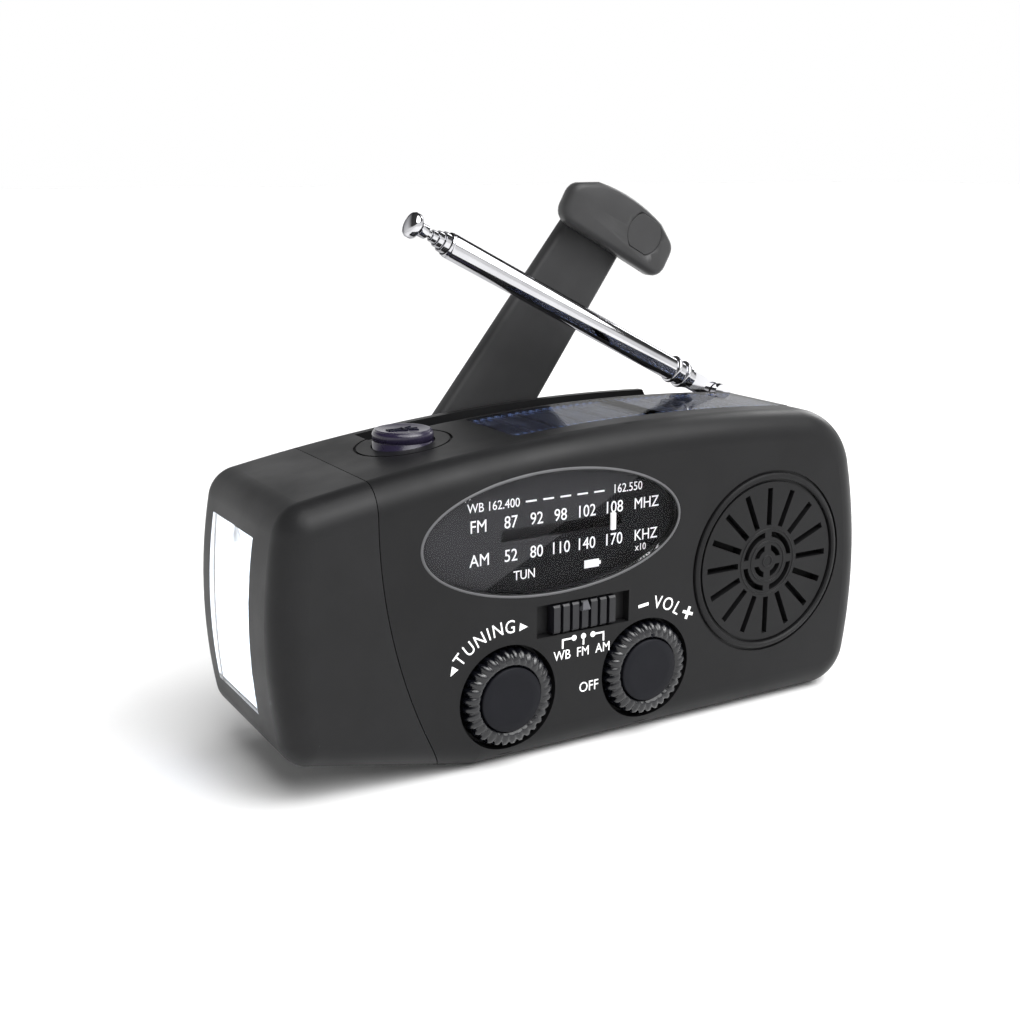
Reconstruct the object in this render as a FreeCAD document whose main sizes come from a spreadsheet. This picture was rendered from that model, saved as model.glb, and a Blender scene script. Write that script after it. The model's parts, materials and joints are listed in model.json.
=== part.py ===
"""Hand-cranked emergency radio with a lamp, a solar panel and a telescopic antenna.

Millimetres. X runs along the length (lamp end at -X), Y points to the back, Z is up.
The origin is the centre of the underside, on the plane that the rubber feet stand on.
"""
import FreeCAD, Part
import Sketcher
import math
import os

DOC = FreeCAD.newDocument("EmergencyRadio")
SHEET = DOC.addObject("Spreadsheet::Sheet", "Sizes")
NODES = []


# ---------------------------------------------------------------- driving sizes

DRIVING = {
    # whole body
    "body_length": 128.0,
    "body_height": 60.0,
    "front_depth": 22.0,       # front face, ahead of the middle plane
    "back_depth": 18.2,        # back face, behind the middle plane
    "wall": 2.2,
    "top_roll_radius": 390.0,
    "top_apex_x": 18.0,
    "end_roll_radius": 100.0,
    "end_apex_z": 24.0,
    "belly_length": 37.0,      # from the lamp end to where the underside starts to rise
    "belly_slope": 12.2,       # degrees
    "front_rounding": 5.5,
    "back_rounding": 3.6,
    "parting_y": 9.5,          # plane between the front and back covers
    "seam_radius": 99.0,       # curved seam of the lamp housing
    "seam_x": 53.7,
    "seam_z": 48.5,
    # clearances
    "gap": 0.3,                # between parts that move past each other
    "running_gap": 0.05,       # shaft in its bush
    "seam_gap": 0.15,
    # lamp
    "lamp_roll_z": 28.5,       # height of the middle of the rounded lamp end
    "lens_half_width": 10.3,
    "lens_half_height": 15.8,
    "lens_y": 1.2,
    "lens_z": 29.9,
    "lens_depth": 3.4,         # from the lamp end to the inner face of the lens
    "led_radius": 2.5,
    "led_pitch": 10.2,
    "led_cup_mouth": 5.0,
    "led_cup_foot": 2.8,
    # dial
    "dial_x": -10.7,
    "dial_z": 42.6,
    "dial_half_width": 26.5,
    "dial_half_height": 10.9,
    "dial_lens_thickness": 0.9,
    "pointer_x": 2.2,
    "pointer_half_width": 0.55,
    "pointer_height": 3.4,
    "slot_height": 2.2,
    "pointer_travel": 22.4,
    # knobs
    "tuning_x": -20.8,
    "volume_x": 9.2,
    "knob_z": 13.2,
    "knob_recess_radius": 9.9,
    "knob_recess_depth": 3.6,
    "knob_radius": 9.2,
    "knob_stand": 1.5,         # how far a knob stands out of the front face
    "stub_radius": 2.9,
    # band switch
    "band_x": -4.9,
    "band_z": 26.3,
    "band_window_width": 20.0,
    "band_window_height": 6.1,
    "slider_width": 13.6,
    "slider_stand": 0.5,
    # speaker
    "speaker_x": 38.2,
    "speaker_z": 30.0,
    "speaker_radius": 16.3,
    "grille_ring_radius": 18.1,
    "grille_slot_width": 1.2,
    "groove_width": 0.5,       # ring grooves round the speaker and the lamp button
    "groove_depth": 0.5,
    # top
    "button_x": -30.2,
    "button_y": 0.0,
    "button_radius": 5.6,
    "button_stand": 2.6,
    "button_travel": 1.0,
    "button_ring_radius": 8.8,
    "panel_left": -14.0,
    "panel_right": 50.0,
    "panel_front": -12.5,
    "panel_back": 6.2,
    "panel_cover_thickness": 0.8,
    "panel_cell_thickness": 0.4,
    # antenna
    "antenna_x": 49.0,
    "antenna_y": 10.2,
    "antenna_sink": 0.566,     # how far the pivot lies below the arched top
    "antenna_angle": 27.3,     # degrees above the horizontal, as it stands
    "antenna_radius": 2.45,
    "ferrule_radius": 2.95,
    "ferrule_width": 0.9,
    "antenna_length": 72.6,    # from the pivot to the mouth of the widest tube
    "antenna_neck": 8.6,       # from the pivot to the foot of the widest tube
    "antenna_show": 1.2,       # how far each closed section stands out of the one before
    "antenna_tip_length": 4.0,
    "antenna_tip_radius": 2.9,
    "antenna_knuckle": 2.2,
    "antenna_pin_radius": 0.8,
    "antenna_tongue": 2.4,
    "antenna_cheek": 1.6,
    "antenna_step": 0.42,      # radius lost from one section to the next
    "antenna_wall": 0.25,
    # crank
    "hub_x": -22.0,
    "hub_z": 30.0,
    "hub_radius": 11.0,
    "crank_angle": 36.5,       # degrees from the vertical, as it stands
    "arm_gap": 0.5,
    "arm_thickness": 3.8,
    "arm_half_width_hub": 9.9,
    "arm_half_width_grip": 7.3,
    "grip_reach": 79.0,
    "grip_tilt": 28.7,         # degrees from the horizontal, as it stands
    "grip_left": 12.2,         # the grip's edges, from its pin
    "grip_right": 16.2,
    "grip_inner": 4.2,
    "grip_outer": 7.6,
    "grip_crown_radius": 38.0,
    "grip_crown_shift": 2.0,
    "grip_thickness": 4.6,
    "grip_pin_radius": 2.0,
    "grip_cap_radius": 4.2,
    "grip_cap_right": 7.3,     # the cap's place, from the grip's pin
    "grip_cap_out": 2.2,
    "bay_radius": 62.0,        # the covers are sunk beyond this reach for the grip
    "shaft_radius": 3.0,
    "bush_radius": 5.0,
    # gears and generator
    "gear_width": 3.0,
    "crank_gear_radius": 13.5,
    "step_pinion_radius": 3.6,
    "step_gear_radius": 11.0,
    "rotor_pinion_radius": 3.0,
    "step_bearing": 25.0,      # degrees, direction from the hub to the step gear
    "axle_radius": 1.2,
    "generator_radius": 11.5,
    "generator_length": 10.5,
    "plate_thickness": 1.6,
    "plate_back": 4.5,
    # inside
    "board_front": -12.6,
    "board_thickness": 1.6,
    "cell_radius": 7.1,
    "cell_length": 50.0,
    "cell_left": -19.5,
    # doors and ports
    "door_left": -14.0,
    "door_right": 33.0,
    "door_top": 19.0,
    "door_bottom": 4.6,
    "door_thickness": 1.8,
    "flap_front": -7.5,
    "flap_back": 8.5,
    "flap_bottom": 11.0,
    "flap_top": 33.0,
    "flap_seat": 62.3,
    "flap_knuckle": 0.55,
    # small hardware
    "screw_radius": 1.2,
    "screw_head_radius": 2.6,
    "foot_radius": 4.0,
    "foot_thickness": 1.6,
}


class Size:
    """A number tied to the sheet: its expression text together with its present value."""

    def __init__(self, text, value):
        self.text = text
        self.value = value

    def _with(self, other, sign, value, swapped=False):
        left, right = (other.text, self.text) if swapped else (self.text, other.text)
        return Size("(%s %s %s)" % (left, sign, right), value)

    def __add__(self, other):
        other = as_size(other)
        return self._with(other, "+", self.value + other.value)

    def __radd__(self, other):
        return as_size(other) + self

    def __sub__(self, other):
        other = as_size(other)
        return self._with(other, "-", self.value - other.value)

    def __rsub__(self, other):
        return as_size(other) - self

    def __mul__(self, other):
        other = as_size(other)
        return self._with(other, "*", self.value * other.value)

    def __rmul__(self, other):
        return as_size(other) * self

    def __truediv__(self, other):
        other = as_size(other)
        return self._with(other, "/", self.value / other.value)

    def __neg__(self):
        return Size("(0 - %s)" % self.text, -self.value)


def as_size(number):
    if isinstance(number, Size):
        return number
    return Size("(%.6f)" % number, float(number))


def root(number):
    return Size("sqrt(%s)" % number.text, math.sqrt(number.value))


def sine(degrees):
    degrees = as_size(degrees)
    return Size("sin(%s * 1 deg)" % degrees.text, math.sin(math.radians(degrees.value)))


def cosine(degrees):
    degrees = as_size(degrees)
    return Size("cos(%s * 1 deg)" % degrees.text, math.cos(math.radians(degrees.value)))


def fill_sheet():
    for row, (name, number) in enumerate(DRIVING.items(), start=1):
        SHEET.set("A%d" % row, name)
        SHEET.set("B%d" % row, "%g" % number)
        SHEET.setAlias("B%d" % row, name)
    DOC.recompute()
    return {name: Size("Sizes." + name, number) for name, number in DRIVING.items()}


S = fill_sheet()


# ---------------------------------------------------------------- building helpers

TURN = {  # rotations that carry +Z to the named axis
    "x": FreeCAD.Rotation(FreeCAD.Vector(0, 1, 0), 90),
    "y": FreeCAD.Rotation(FreeCAD.Vector(1, 0, 0), -90),
    "z": FreeCAD.Rotation(),
}


def bind(thing, prop, number):
    thing.setExpression(prop, as_size(number).text)


def place(thing, x=0, y=0, z=0):
    for letter, number in zip("xyz", (x, y, z)):
        bind(thing, "Placement.Base." + letter, number)


def tilt_about_y(thing, degrees):
    thing.Placement = FreeCAD.Placement(FreeCAD.Vector(), FreeCAD.Rotation(FreeCAD.Vector(0, 1, 0), 1))
    bind(thing, "Placement.Rotation.Angle", degrees)


def tilted_at_origin(degrees):
    """A placement leaning a blank up from +X towards +Z."""
    return FreeCAD.Placement(FreeCAD.Vector(), FreeCAD.Rotation(FreeCAD.Vector(0, -1, 0), degrees))


def spot(axis, at, along):
    """Puts the two cross coordinates and the coordinate along the axis in x, y, z order."""
    first, second = at
    return {"x": (along, first, second), "y": (first, along, second), "z": (first, second, along)}[axis]


def block(name, x, y, z):
    box = DOC.addObject("Part::Box", name)
    for prop, (low, high) in zip(("Length", "Width", "Height"), (x, y, z)):
        bind(box, prop, as_size(high) - low)
    place(box, x[0], y[0], z[0])
    return box


def rod(name, axis, at, span, radius):
    cylinder = DOC.addObject("Part::Cylinder", name)
    bind(cylinder, "Radius", radius)
    bind(cylinder, "Height", as_size(span[1]) - span[0])
    cylinder.Placement = FreeCAD.Placement(FreeCAD.Vector(), TURN[axis])
    place(cylinder, *spot(axis, at, span[0]))
    return cylinder


def hoop(name, axis, at, span, radius, width):
    """A flat ring, width across, centred on the given radius."""
    hole = rod(name + "_hole", axis, at, (as_size(span[0]) - 1, as_size(span[1]) + 1), radius - width / 2)
    return cut(name, rod(name + "_rim", axis, at, span, radius + width / 2), hole)


def taper(name, axis, at, span, start_radius, end_radius):
    cone = DOC.addObject("Part::Cone", name)
    bind(cone, "Radius1", start_radius)
    bind(cone, "Radius2", end_radius)
    bind(cone, "Height", as_size(span[1]) - span[0])
    cone.Placement = FreeCAD.Placement(FreeCAD.Vector(), TURN[axis])
    place(cone, *spot(axis, at, span[0]))
    return cone


def oval(name, at, half_width, half_height, span):
    """An elliptical prism along Y."""
    ring = DOC.addObject("Part::Ellipse", name + "_ring")
    bind(ring, "MajorRadius", half_width)
    bind(ring, "MinorRadius", half_height)
    ring.Placement = FreeCAD.Placement(FreeCAD.Vector(), FreeCAD.Rotation(FreeCAD.Vector(1, 0, 0), 90))
    place(ring, at[0], span[0], at[1])
    prism = DOC.addObject("Part::Extrusion", name)
    prism.Base = ring
    prism.DirMode = "Custom"
    prism.Dir = FreeCAD.Vector(0, 1, 0)
    prism.Solid = True
    bind(prism, "LengthFwd", as_size(span[1]) - span[0])
    return prism


def join(name, *pieces):
    fused = DOC.addObject("Part::MultiFuse", name)
    fused.Shapes = list(pieces)
    fused.Refine = True
    return fused


def group(name, *pieces):
    """Separate solids that share one node."""
    bundle = DOC.addObject("Part::Compound", name)
    bundle.Links = list(pieces)
    return bundle


def meet(name, *pieces):
    common = DOC.addObject("Part::MultiCommon", name)
    common.Shapes = list(pieces)
    return common


def cut(name, base, *tools):
    carved = DOC.addObject("Part::Cut", name)
    carved.Base = base
    carved.Tool = tools[0] if len(tools) == 1 else group(name + "_tools", *tools)
    return carved


def rounded(name, base, choose):
    """Fillets the edges of base for which choose(edge) gives a radius."""
    DOC.recompute()
    fillet = DOC.addObject("Part::Fillet", name)
    fillet.Base = base
    picked = []
    for index, edge in enumerate(base.Shape.Edges, start=1):
        radius = choose(edge)
        if radius:
            picked.append((index, radius, radius))
    fillet.Edges = picked
    return fillet


def along_y(edge):
    ends = [vertex.Point for vertex in edge.Vertexes]
    return len(ends) == 2 and abs(ends[0].x - ends[1].x) < 1e-4 and abs(ends[0].z - ends[1].z) < 1e-4


def lies_at(edge, axis, number):
    return all(abs(getattr(vertex.Point, axis) - number) < 1e-4 for vertex in edge.Vertexes)


def sketch_on(body, name, role):
    plane = next(item for item in body.Origin.OriginFeatures if item.Role == role)
    sketch = body.newObject("Sketcher::SketchObject", name)
    sketch.AttachmentSupport = [(plane, "")]
    sketch.MapMode = "FlatFace"
    return sketch


def draw_loop(sketch, points):
    """A closed loop of straight edges, each corner tied to the sheet."""
    points = [(as_size(u), as_size(v)) for u, v in points]
    corners = [FreeCAD.Vector(u.value, v.value, 0) for u, v in points]
    first = sketch.GeometryCount
    count = len(corners)
    for index in range(count):
        sketch.addGeometry(Part.LineSegment(corners[index], corners[(index + 1) % count]), False)
    for index in range(count):
        following = first + (index + 1) % count
        sketch.addConstraint(Sketcher.Constraint("Coincident", first + index, 2, following, 1))
    for index, (u, v) in enumerate(points):
        for kind, number in (("DistanceX", u), ("DistanceY", v)):
            which = sketch.addConstraint(Sketcher.Constraint(kind, -1, 1, first + index, 1, number.value))
            sketch.setExpression("Constraints[%d]" % which, number.text)


def draw_hole(sketch, at, radius):
    u, v, radius = as_size(at[0]), as_size(at[1]), as_size(radius)
    ring = sketch.addGeometry(Part.Circle(FreeCAD.Vector(u.value, v.value, 0),
                                          FreeCAD.Vector(0, 0, 1), radius.value), False)
    for constraint, number in (
            (Sketcher.Constraint("DistanceX", -1, 1, ring, 3, u.value), u),
            (Sketcher.Constraint("DistanceY", -1, 1, ring, 3, v.value), v),
            (Sketcher.Constraint("Radius", ring, radius.value), radius)):
        which = sketch.addConstraint(constraint)
        sketch.setExpression("Constraints[%d]" % which, number.text)


def turned(name, axis, at, profile, along=0):
    """A body of revolution; the profile's corners are (radius, distance along the axis)."""
    body = DOC.addObject("PartDesign::Body", name)
    sketch = sketch_on(body, name + "_profile", "XZ_Plane")
    draw_loop(sketch, profile)
    spin = body.newObject("PartDesign::Revolution", name + "_turn")
    spin.Profile = sketch
    spin.ReferenceAxis = (sketch, ["V_Axis"])
    spin.Angle = 360
    body.Placement = FreeCAD.Placement(FreeCAD.Vector(), TURN[axis])
    place(body, *spot(axis, at, along))
    return body


def padded(name, outline, span, holes=()):
    """A flat plate in the XZ plane; the sketch faces -Y, so the pad is set back by its thickness."""
    body = DOC.addObject("PartDesign::Body", name)
    sketch = sketch_on(body, name + "_outline", "XZ_Plane")
    draw_loop(sketch, outline)
    for at, radius in holes:
        draw_hole(sketch, at, radius)
    pad = body.newObject("PartDesign::Pad", name + "_pad")
    pad.Profile = sketch
    bind(pad, "Length", as_size(span[1]) - span[0])
    place(body, 0, span[1], 0)
    return body


def rectangle(x, z):
    return [(x[0], z[0]), (x[1], z[0]), (x[1], z[1]), (x[0], z[1])]


def node(thing):
    """Marks a finished sub-part: its label is the name of its file."""
    thing.Label = thing.Name
    NODES.append(thing)
    return thing


# ---------------------------------------------------------------- shared places

left, right = -S["body_length"] / 2, S["body_length"] / 2
top, bottom = S["body_height"], as_size(0)
front, back = -S["front_depth"], S["back_depth"]
inner_front, inner_back = front + S["wall"], back - S["wall"]
FAR = 40.0       # how far cutting tools reach past the body
board_back = S["board_front"] + S["board_thickness"]


def top_at(x, drop=0):
    """Height of the arched top over a place x, less a drop."""
    reach = S["top_roll_radius"] - drop
    return top - S["top_roll_radius"] + root(reach * reach - (x - S["top_apex_x"]) * (x - S["top_apex_x"]))


def top_roll(name, drop, y):
    return rod(name, "y", (S["top_apex_x"], top - S["top_roll_radius"]), y, S["top_roll_radius"] - drop)


def end_roll(name, inset, y):
    return rod(name, "y", (right - S["end_roll_radius"], S["end_apex_z"]), y, S["end_roll_radius"] - inset)


def lamp_roll(name, inset, y):
    return rod(name, "y", (left + S["end_roll_radius"], S["lamp_roll_z"]), y, S["end_roll_radius"] - inset)


CORNERS = {("right", "top"): 14.5, ("right", "bottom"): 9.0, ("left", "top"): 6.0, ("left", "bottom"): 5.5}


def body_block(name, inset, y):
    """The rounded outer form of the whole body, pulled in by inset on every side."""
    inset = as_size(inset)
    blank = block(name + "_blank", (left + inset, right - inset), y, (bottom + inset, top - inset))
    slope = S["belly_slope"]
    tool_length, tool_height, overlap = 70.0, 25.0, 5.0
    wedge = DOC.addObject("Part::Box", name + "_wedge")
    for prop, number in (("Length", tool_length), ("Width", as_size(y[1]) - y[0]), ("Height", tool_height)):
        bind(wedge, prop, number)
    tilt_about_y(wedge, slope)
    reach = tool_length - overlap
    place(wedge, left + S["belly_length"] + (inset - tool_height) * sine(slope) - reach * cosine(slope), y[0],
          bottom + (inset - tool_height) * cosine(slope) + reach * sine(slope))
    form = cut(name + "_form", meet(name + "_rolls", blank, top_roll(name + "_top", inset, y),
                                    end_roll(name + "_end", inset, y), lamp_roll(name + "_lamp", inset, y)),
               wedge)

    def corner_radius(edge):
        if not along_y(edge):
            return None
        point = edge.Vertexes[0].Point
        if abs(point.x) < 0.4 * S["body_length"].value:
            return None
        side = "right" if point.x > 0 else "left"
        level = "top" if point.z > S["body_height"].value / 2 else "bottom"
        return CORNERS[side, level] - inset.value

    shaped = rounded(name + "_corners", form, corner_radius)

    def rim_radius(edge):
        if lies_at(edge, "y", as_size(y[0]).value):
            return S["front_rounding"].value - inset.value
        if lies_at(edge, "y", as_size(y[1]).value):
            return max(S["back_rounding"].value - inset.value, 0.5)
        return None

    return rounded(name, shaped, rim_radius)


outer = body_block("outer_form", 0, (front, back))
hollow = body_block("inner_form", S["wall"], (inner_front, inner_back))


def seam_roll(name, growth):
    return rod(name, "y", (S["seam_x"], S["seam_z"]), (front - FAR, back + FAR), S["seam_radius"] + growth)


# ---------------------------------------------------------------- covers

def knob_cup(name, x):
    """The round cup in the front cover that a knob sits in, and the tools that hollow it."""
    floor = front + S["knob_recess_depth"]
    cup = rod(name + "_cup", "y", (x, S["knob_z"]), (front + 1.2, floor + 1.4), S["knob_recess_radius"] + 1.4)
    well = rod(name + "_well", "y", (x, S["knob_z"]), (front - 1, floor), S["knob_recess_radius"])
    bore = rod(name + "_bore", "y", (x, S["knob_z"]), (front, floor + 3), S["stub_radius"] + S["gap"])
    return cup, [well, bore]


def grille_tools():
    """Sixteen radial slots, two broken rings in the middle and two shallow grooves round it all."""
    x, z, reach = S["speaker_x"], S["speaker_z"], S["speaker_radius"]
    bridge = as_size(1.6)
    spokes = [block("grille_spoke_x", (x - reach, x + reach), (front - 3, inner_front + 3),
                    (z - bridge / 2, z + bridge / 2)),
              block("grille_spoke_z", (x - bridge / 2, x + bridge / 2), (front - 3, inner_front + 3),
                    (z - reach, z + reach))]
    tools = [cut("grille_arcs_%d" % index,
                 hoop("grille_arc_%d" % index, "y", (x, z), (front - 1, inner_front + 1), reach * share,
                      as_size(1.1)), *spokes)
             for index, share in enumerate((0.17, 0.335))]
    tools += [hoop("grille_groove_%d" % index, "y", (x, z), (front - 1, front + S["groove_depth"]), radius,
                   S["groove_width"])
              for index, radius in enumerate((reach, S["grille_ring_radius"]))]
    for turn in range(16):
        slot = block("grille_slot_%d" % turn, (0, reach * 0.46), (0, S["wall"] + 2),
                     (0, S["grille_slot_width"]))
        angle = 90 - turn * 22.5
        slot.Placement = tilted_at_origin(angle)
        start, half = reach * 0.45, S["grille_slot_width"] / 2
        place(slot, x + start * cosine(angle) + half * sine(angle), front - 1,
              z + start * sine(angle) - half * cosine(angle))
        tools.append(slot)
    return tools


def panel_tool(name, drop, margin):
    """What lies above a sheet of the arched top, between the panel's edges."""
    slab = block(name + "_slab", (S["panel_left"] - margin, S["panel_right"] + margin),
                 (S["panel_front"] - margin, S["panel_back"] + margin), (top - 12, top + 5))
    return cut(name, slab, top_roll(name + "_floor", drop, (front, back)))


button_top = top_at(S["button_x"]) + S["button_stand"]
switch_top = button_top - 9.4
switch_shelf = switch_top - 3.2 - S["board_thickness"]
panel_depth = S["panel_cover_thickness"] + S["panel_cell_thickness"]
fork_width = S["antenna_tongue"] + 2 * S["antenna_cheek"] + 2 * S["gap"]
fork_front, fork_back = S["antenna_y"] - fork_width / 2, S["antenna_y"] + fork_width / 2
pivot_z = top_at(S["antenna_x"]) - S["antenna_sink"]
fork_base = pivot_z - 5.0
groove_floor = pivot_z - S["ferrule_radius"] - S["gap"]
inner_sections = 4       # antenna sections inside the widest one
antenna_end = S["antenna_length"] + S["antenna_show"] * inner_sections + S["antenna_tip_length"]
groove_left = S["antenna_x"] - antenna_end - 1.5
seat_half = as_size(4.0)
port_y = (S["flap_front"] + S["flap_back"]) / 2
door_slot = S["door_bottom"] - S["gap"]


def cover_openings():
    """Everything that is cut out of the front and back covers together."""
    tools = [rod("button_hole", "z", (S["button_x"], S["button_y"]), (top - 20, top + 5),
                 S["button_radius"] + S["gap"])]
    ring = hoop("button_ring", "z", (S["button_x"], S["button_y"]), (top - 10, top + 5),
                S["button_ring_radius"], S["groove_width"])
    groove_floor_roll = top_roll("button_groove_floor", S["groove_depth"], (front, back))
    tools.append(cut("button_groove", ring, groove_floor_roll))
    tools.append(panel_tool("panel_seat", panel_depth, 0))
    tools.extend(antenna_seat("seat", 0))
    slab = block("groove_side", (S["antenna_x"] - 20, S["antenna_x"] + seat_half),
                 (fork_back - 0.1, grip_front - S["gap"] + 0.1), (groove_floor, top + 5))
    tools.append(cut("groove_side_cut", slab, bay_core("groove_side_core", 0)))
    return tools


def antenna_seat(name, margin):
    """The groove the folded antenna lies in and the deeper seat of its fork."""
    x, y = S["antenna_x"], (fork_front - margin, fork_back + margin)
    return [block(name + "_fork", (x - seat_half - margin, x + seat_half + margin), y,
                  (fork_base - margin, top + 5)),
            block(name + "_groove", (groove_left - margin, x), y, (groove_floor - margin, top + 5))]


def bay_core(name, inset):
    return rod(name, "y", (S["hub_x"], S["hub_z"]), (front, back + 6), S["bay_radius"] - inset)


def grip_bay(name, inset):
    """The sunk end of the back that leaves room for the grip; inset leaves the wall round it."""
    slab = block(name + "_slab", (S["hub_x"], right + 5), (grip_front - S["gap"] - inset, back + 5),
                 (-5, top + 5))
    return cut(name, slab, bay_core(name + "_core", inset))


arm_front = back + S["arm_gap"]
arm_back = arm_front + S["arm_thickness"]
grip_front = arm_front - S["gap"] - S["grip_thickness"]
grip_back = arm_front - S["gap"]
bay = grip_bay("bay", 0)
cavity = cut("cavity", hollow, grip_bay("bay_lining", S["wall"]), *antenna_seat("seat_lining", S["wall"]))
openings = cover_openings()
seam_inside = seam_roll("seam_inside", 0)

SCREWS = [(-38.5, 46.0), (-32.8, 8.5), (26.5, 52.5), (30.5, 23.5)]


def front_cover():
    tuning_cup, tuning_tools = knob_cup("tuning", S["tuning_x"])
    volume_cup, volume_tools = knob_cup("volume", S["volume_x"])
    half = block("front_half", (left - 5, right + 5), (front - 5, S["parting_y"]), (-5, top + 5))
    shell = cut("front_shell", meet("front_solid", outer, half, seam_inside), cavity)
    solid = join("front_with_cups", shell, tuning_cup, volume_cup)
    tools = tuning_tools + volume_tools + openings + grille_tools()
    tools.append(oval("dial_window", (S["dial_x"], S["dial_z"]), S["dial_half_width"], S["dial_half_height"],
                      (front - 1, inner_front + 1)))
    tools.append(block("band_window",
                       (S["band_x"] - S["band_window_width"] / 2, S["band_x"] + S["band_window_width"] / 2),
                       (front - 1, inner_front + 1),
                       (S["band_z"] - S["band_window_height"] / 2, S["band_z"] + S["band_window_height"] / 2)))
    tools.append(block("flap_seat", (S["flap_seat"], right + 5), (S["flap_front"], S["flap_back"]),
                       (S["flap_bottom"], S["flap_top"])))
    tools.append(block("usb_out_hole", (right - 12, right + 2), (port_y - 6.7, port_y + 6.7), (14, 20)))
    tools.append(block("usb_in_hole", (right - 12, right + 2), (port_y - 4, port_y + 4), (25, 28)))
    tools.extend(foot_wells("front"))
    return node(cut("front_cover", solid, *tools))


FEET = [(-20.0, -13.0), (50.0, -13.0), (-20.0, 13.5), (46.0, 5.0)]


def foot_wells(name):
    return [rod("%s_foot_well_%d" % (name, index), "z", at, (-1, S["foot_thickness"]), S["foot_radius"])
            for index, at in enumerate(FEET)]


def back_cover():
    half = block("back_half", (left - 5, right + 5), (S["parting_y"], back + 5), (-5, top + 5))
    shell = cut("back_shell", meet("back_solid", outer, half, seam_inside), cavity, bay)
    boss = rod("hub_boss", "y", (S["hub_x"], S["hub_z"]), (inner_back - 1.8, back), S["bush_radius"] + 2)
    towers = [rod("screw_tower_%d" % index, "y", at, (S["parting_y"] + 1, back - 2), 3.2)
              for index, at in enumerate(SCREWS)]
    solid = join("back_with_bosses", shell, boss, *towers)
    tools = list(openings)
    tools.append(rod("bush_hole", "y", (S["hub_x"], S["hub_z"]), (0, back + 5), S["bush_radius"]))
    tools.append(block("door_hole", (S["door_left"] - S["gap"], S["door_right"] + S["gap"]),
                       (inner_back - 3, back + 5), (door_slot, S["door_top"] + S["gap"])))
    for index, at in enumerate(SCREWS):
        tools.append(rod("head_hole_%d" % index, "y", at, (back - 2.2, back + 5), S["screw_head_radius"]))
        tools.append(rod("shank_hole_%d" % index, "y", at, (0, back), S["screw_radius"]))
    tools.extend(foot_wells("back"))
    return node(cut("back_cover", solid, *tools))


def lamp_window(name, growth, x):
    half_y, half_z = S["lens_half_width"] + growth, S["lens_half_height"] + growth
    return block(name, x, (S["lens_y"] - half_y, S["lens_y"] + half_y), (S["lens_z"] - half_z, S["lens_z"] + half_z))


lens_inner = left + S["lens_depth"]


def lamp_housing():
    shell = cut("lamp_shell", outer, seam_roll("seam_outside", S["seam_gap"]), hollow)
    return node(cut("lamp_housing", shell, lamp_window("lens_hole", 0, (left - 5, left + 8))))


front_cover()
back_cover()
lamp_housing()


# ---------------------------------------------------------------- lamp

def lamp():
    end = lamp_roll("lens_roll", 0, (front, back))
    node(meet("lamp_lens", end, lamp_window("lens_blank", -0.1, (left - 1, lens_inner))))
    cup_front, cup_back = lens_inner, lens_inner + 9.0
    tray = lamp_window("reflector_blank", -0.6, (cup_front, cup_back))
    heights = [S["lens_z"] + S["led_pitch"] * step for step in (-1, 0, 1)]
    cups = [taper("cup_%d" % index, "x", (S["lens_y"], height), (cup_front - 0.1, cup_back + 0.1),
                  S["led_cup_mouth"], S["led_cup_foot"])
            for index, height in enumerate(heights)]
    node(cut("lamp_reflector", tray, *cups))
    leds = []
    for index, height in enumerate(heights):
        dome_x = cup_front + 3.6
        stem = rod("led_stem_%d" % index, "x", (S["lens_y"], height), (dome_x, cup_back), S["led_radius"])
        dome = DOC.addObject("Part::Sphere", "led_dome_%d" % index)
        bind(dome, "Radius", S["led_radius"])
        place(dome, dome_x, S["lens_y"], height)
        leds.append(join("led_%d" % index, stem, dome))
    node(group("lamp_leds", *leds))
    node(lamp_window("lamp_board", -0.6, (cup_back, cup_back + S["board_thickness"])))


lamp()


# ---------------------------------------------------------------- dial and controls

def dial():
    clear = 0.1
    node(oval("dial_lens", (S["dial_x"], S["dial_z"]), S["dial_half_width"] - clear,
              S["dial_half_height"] - clear, (front, front + S["dial_lens_thickness"])))
    reach_x, reach_z = S["dial_half_width"] + 1.5, S["dial_half_height"] + 0.8
    slot_low = S["pointer_x"] - S["pointer_travel"] - S["pointer_half_width"] - S["gap"]
    slot_high = S["pointer_x"] + S["pointer_half_width"] + 1.6 + S["gap"]
    sheet = block("dial_plate_blank", (S["dial_x"] - reach_x, S["dial_x"] + reach_x),
                  (inner_front, inner_front + 0.8), (S["dial_z"] - reach_z, S["dial_z"] + reach_z))
    plate = meet("dial_plate_sheet", sheet, hollow)
    slot = block("dial_slot", (slot_low, slot_high), (inner_front - 1, inner_front + 2),
                 (S["dial_z"] - S["slot_height"] / 2, S["dial_z"] + S["slot_height"] / 2))
    node(cut("dial_plate", plate, slot))
    across = (S["pointer_x"] - S["pointer_half_width"], S["pointer_x"] + S["pointer_half_width"])
    bar = block("pointer_bar", across, (inner_front - 0.9, inner_front - 0.3),
                (S["dial_z"] - S["pointer_height"] / 2, S["dial_z"] + S["pointer_height"] / 2))
    stem_half = S["slot_height"] / 2 - S["gap"]
    stem = block("pointer_stem", across, (inner_front - 0.5, inner_front + 2.4),
                 (S["dial_z"] - stem_half, S["dial_z"] + stem_half))
    slide = block("pointer_slide", (S["pointer_x"] - 2.2, S["pointer_x"] + 1.6),
                  (inner_front + 1.2, inner_front + 2.6), (S["dial_z"] - 3.0, S["dial_z"] + 3.0))
    node(join("dial_pointer", bar, stem, slide))


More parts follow.
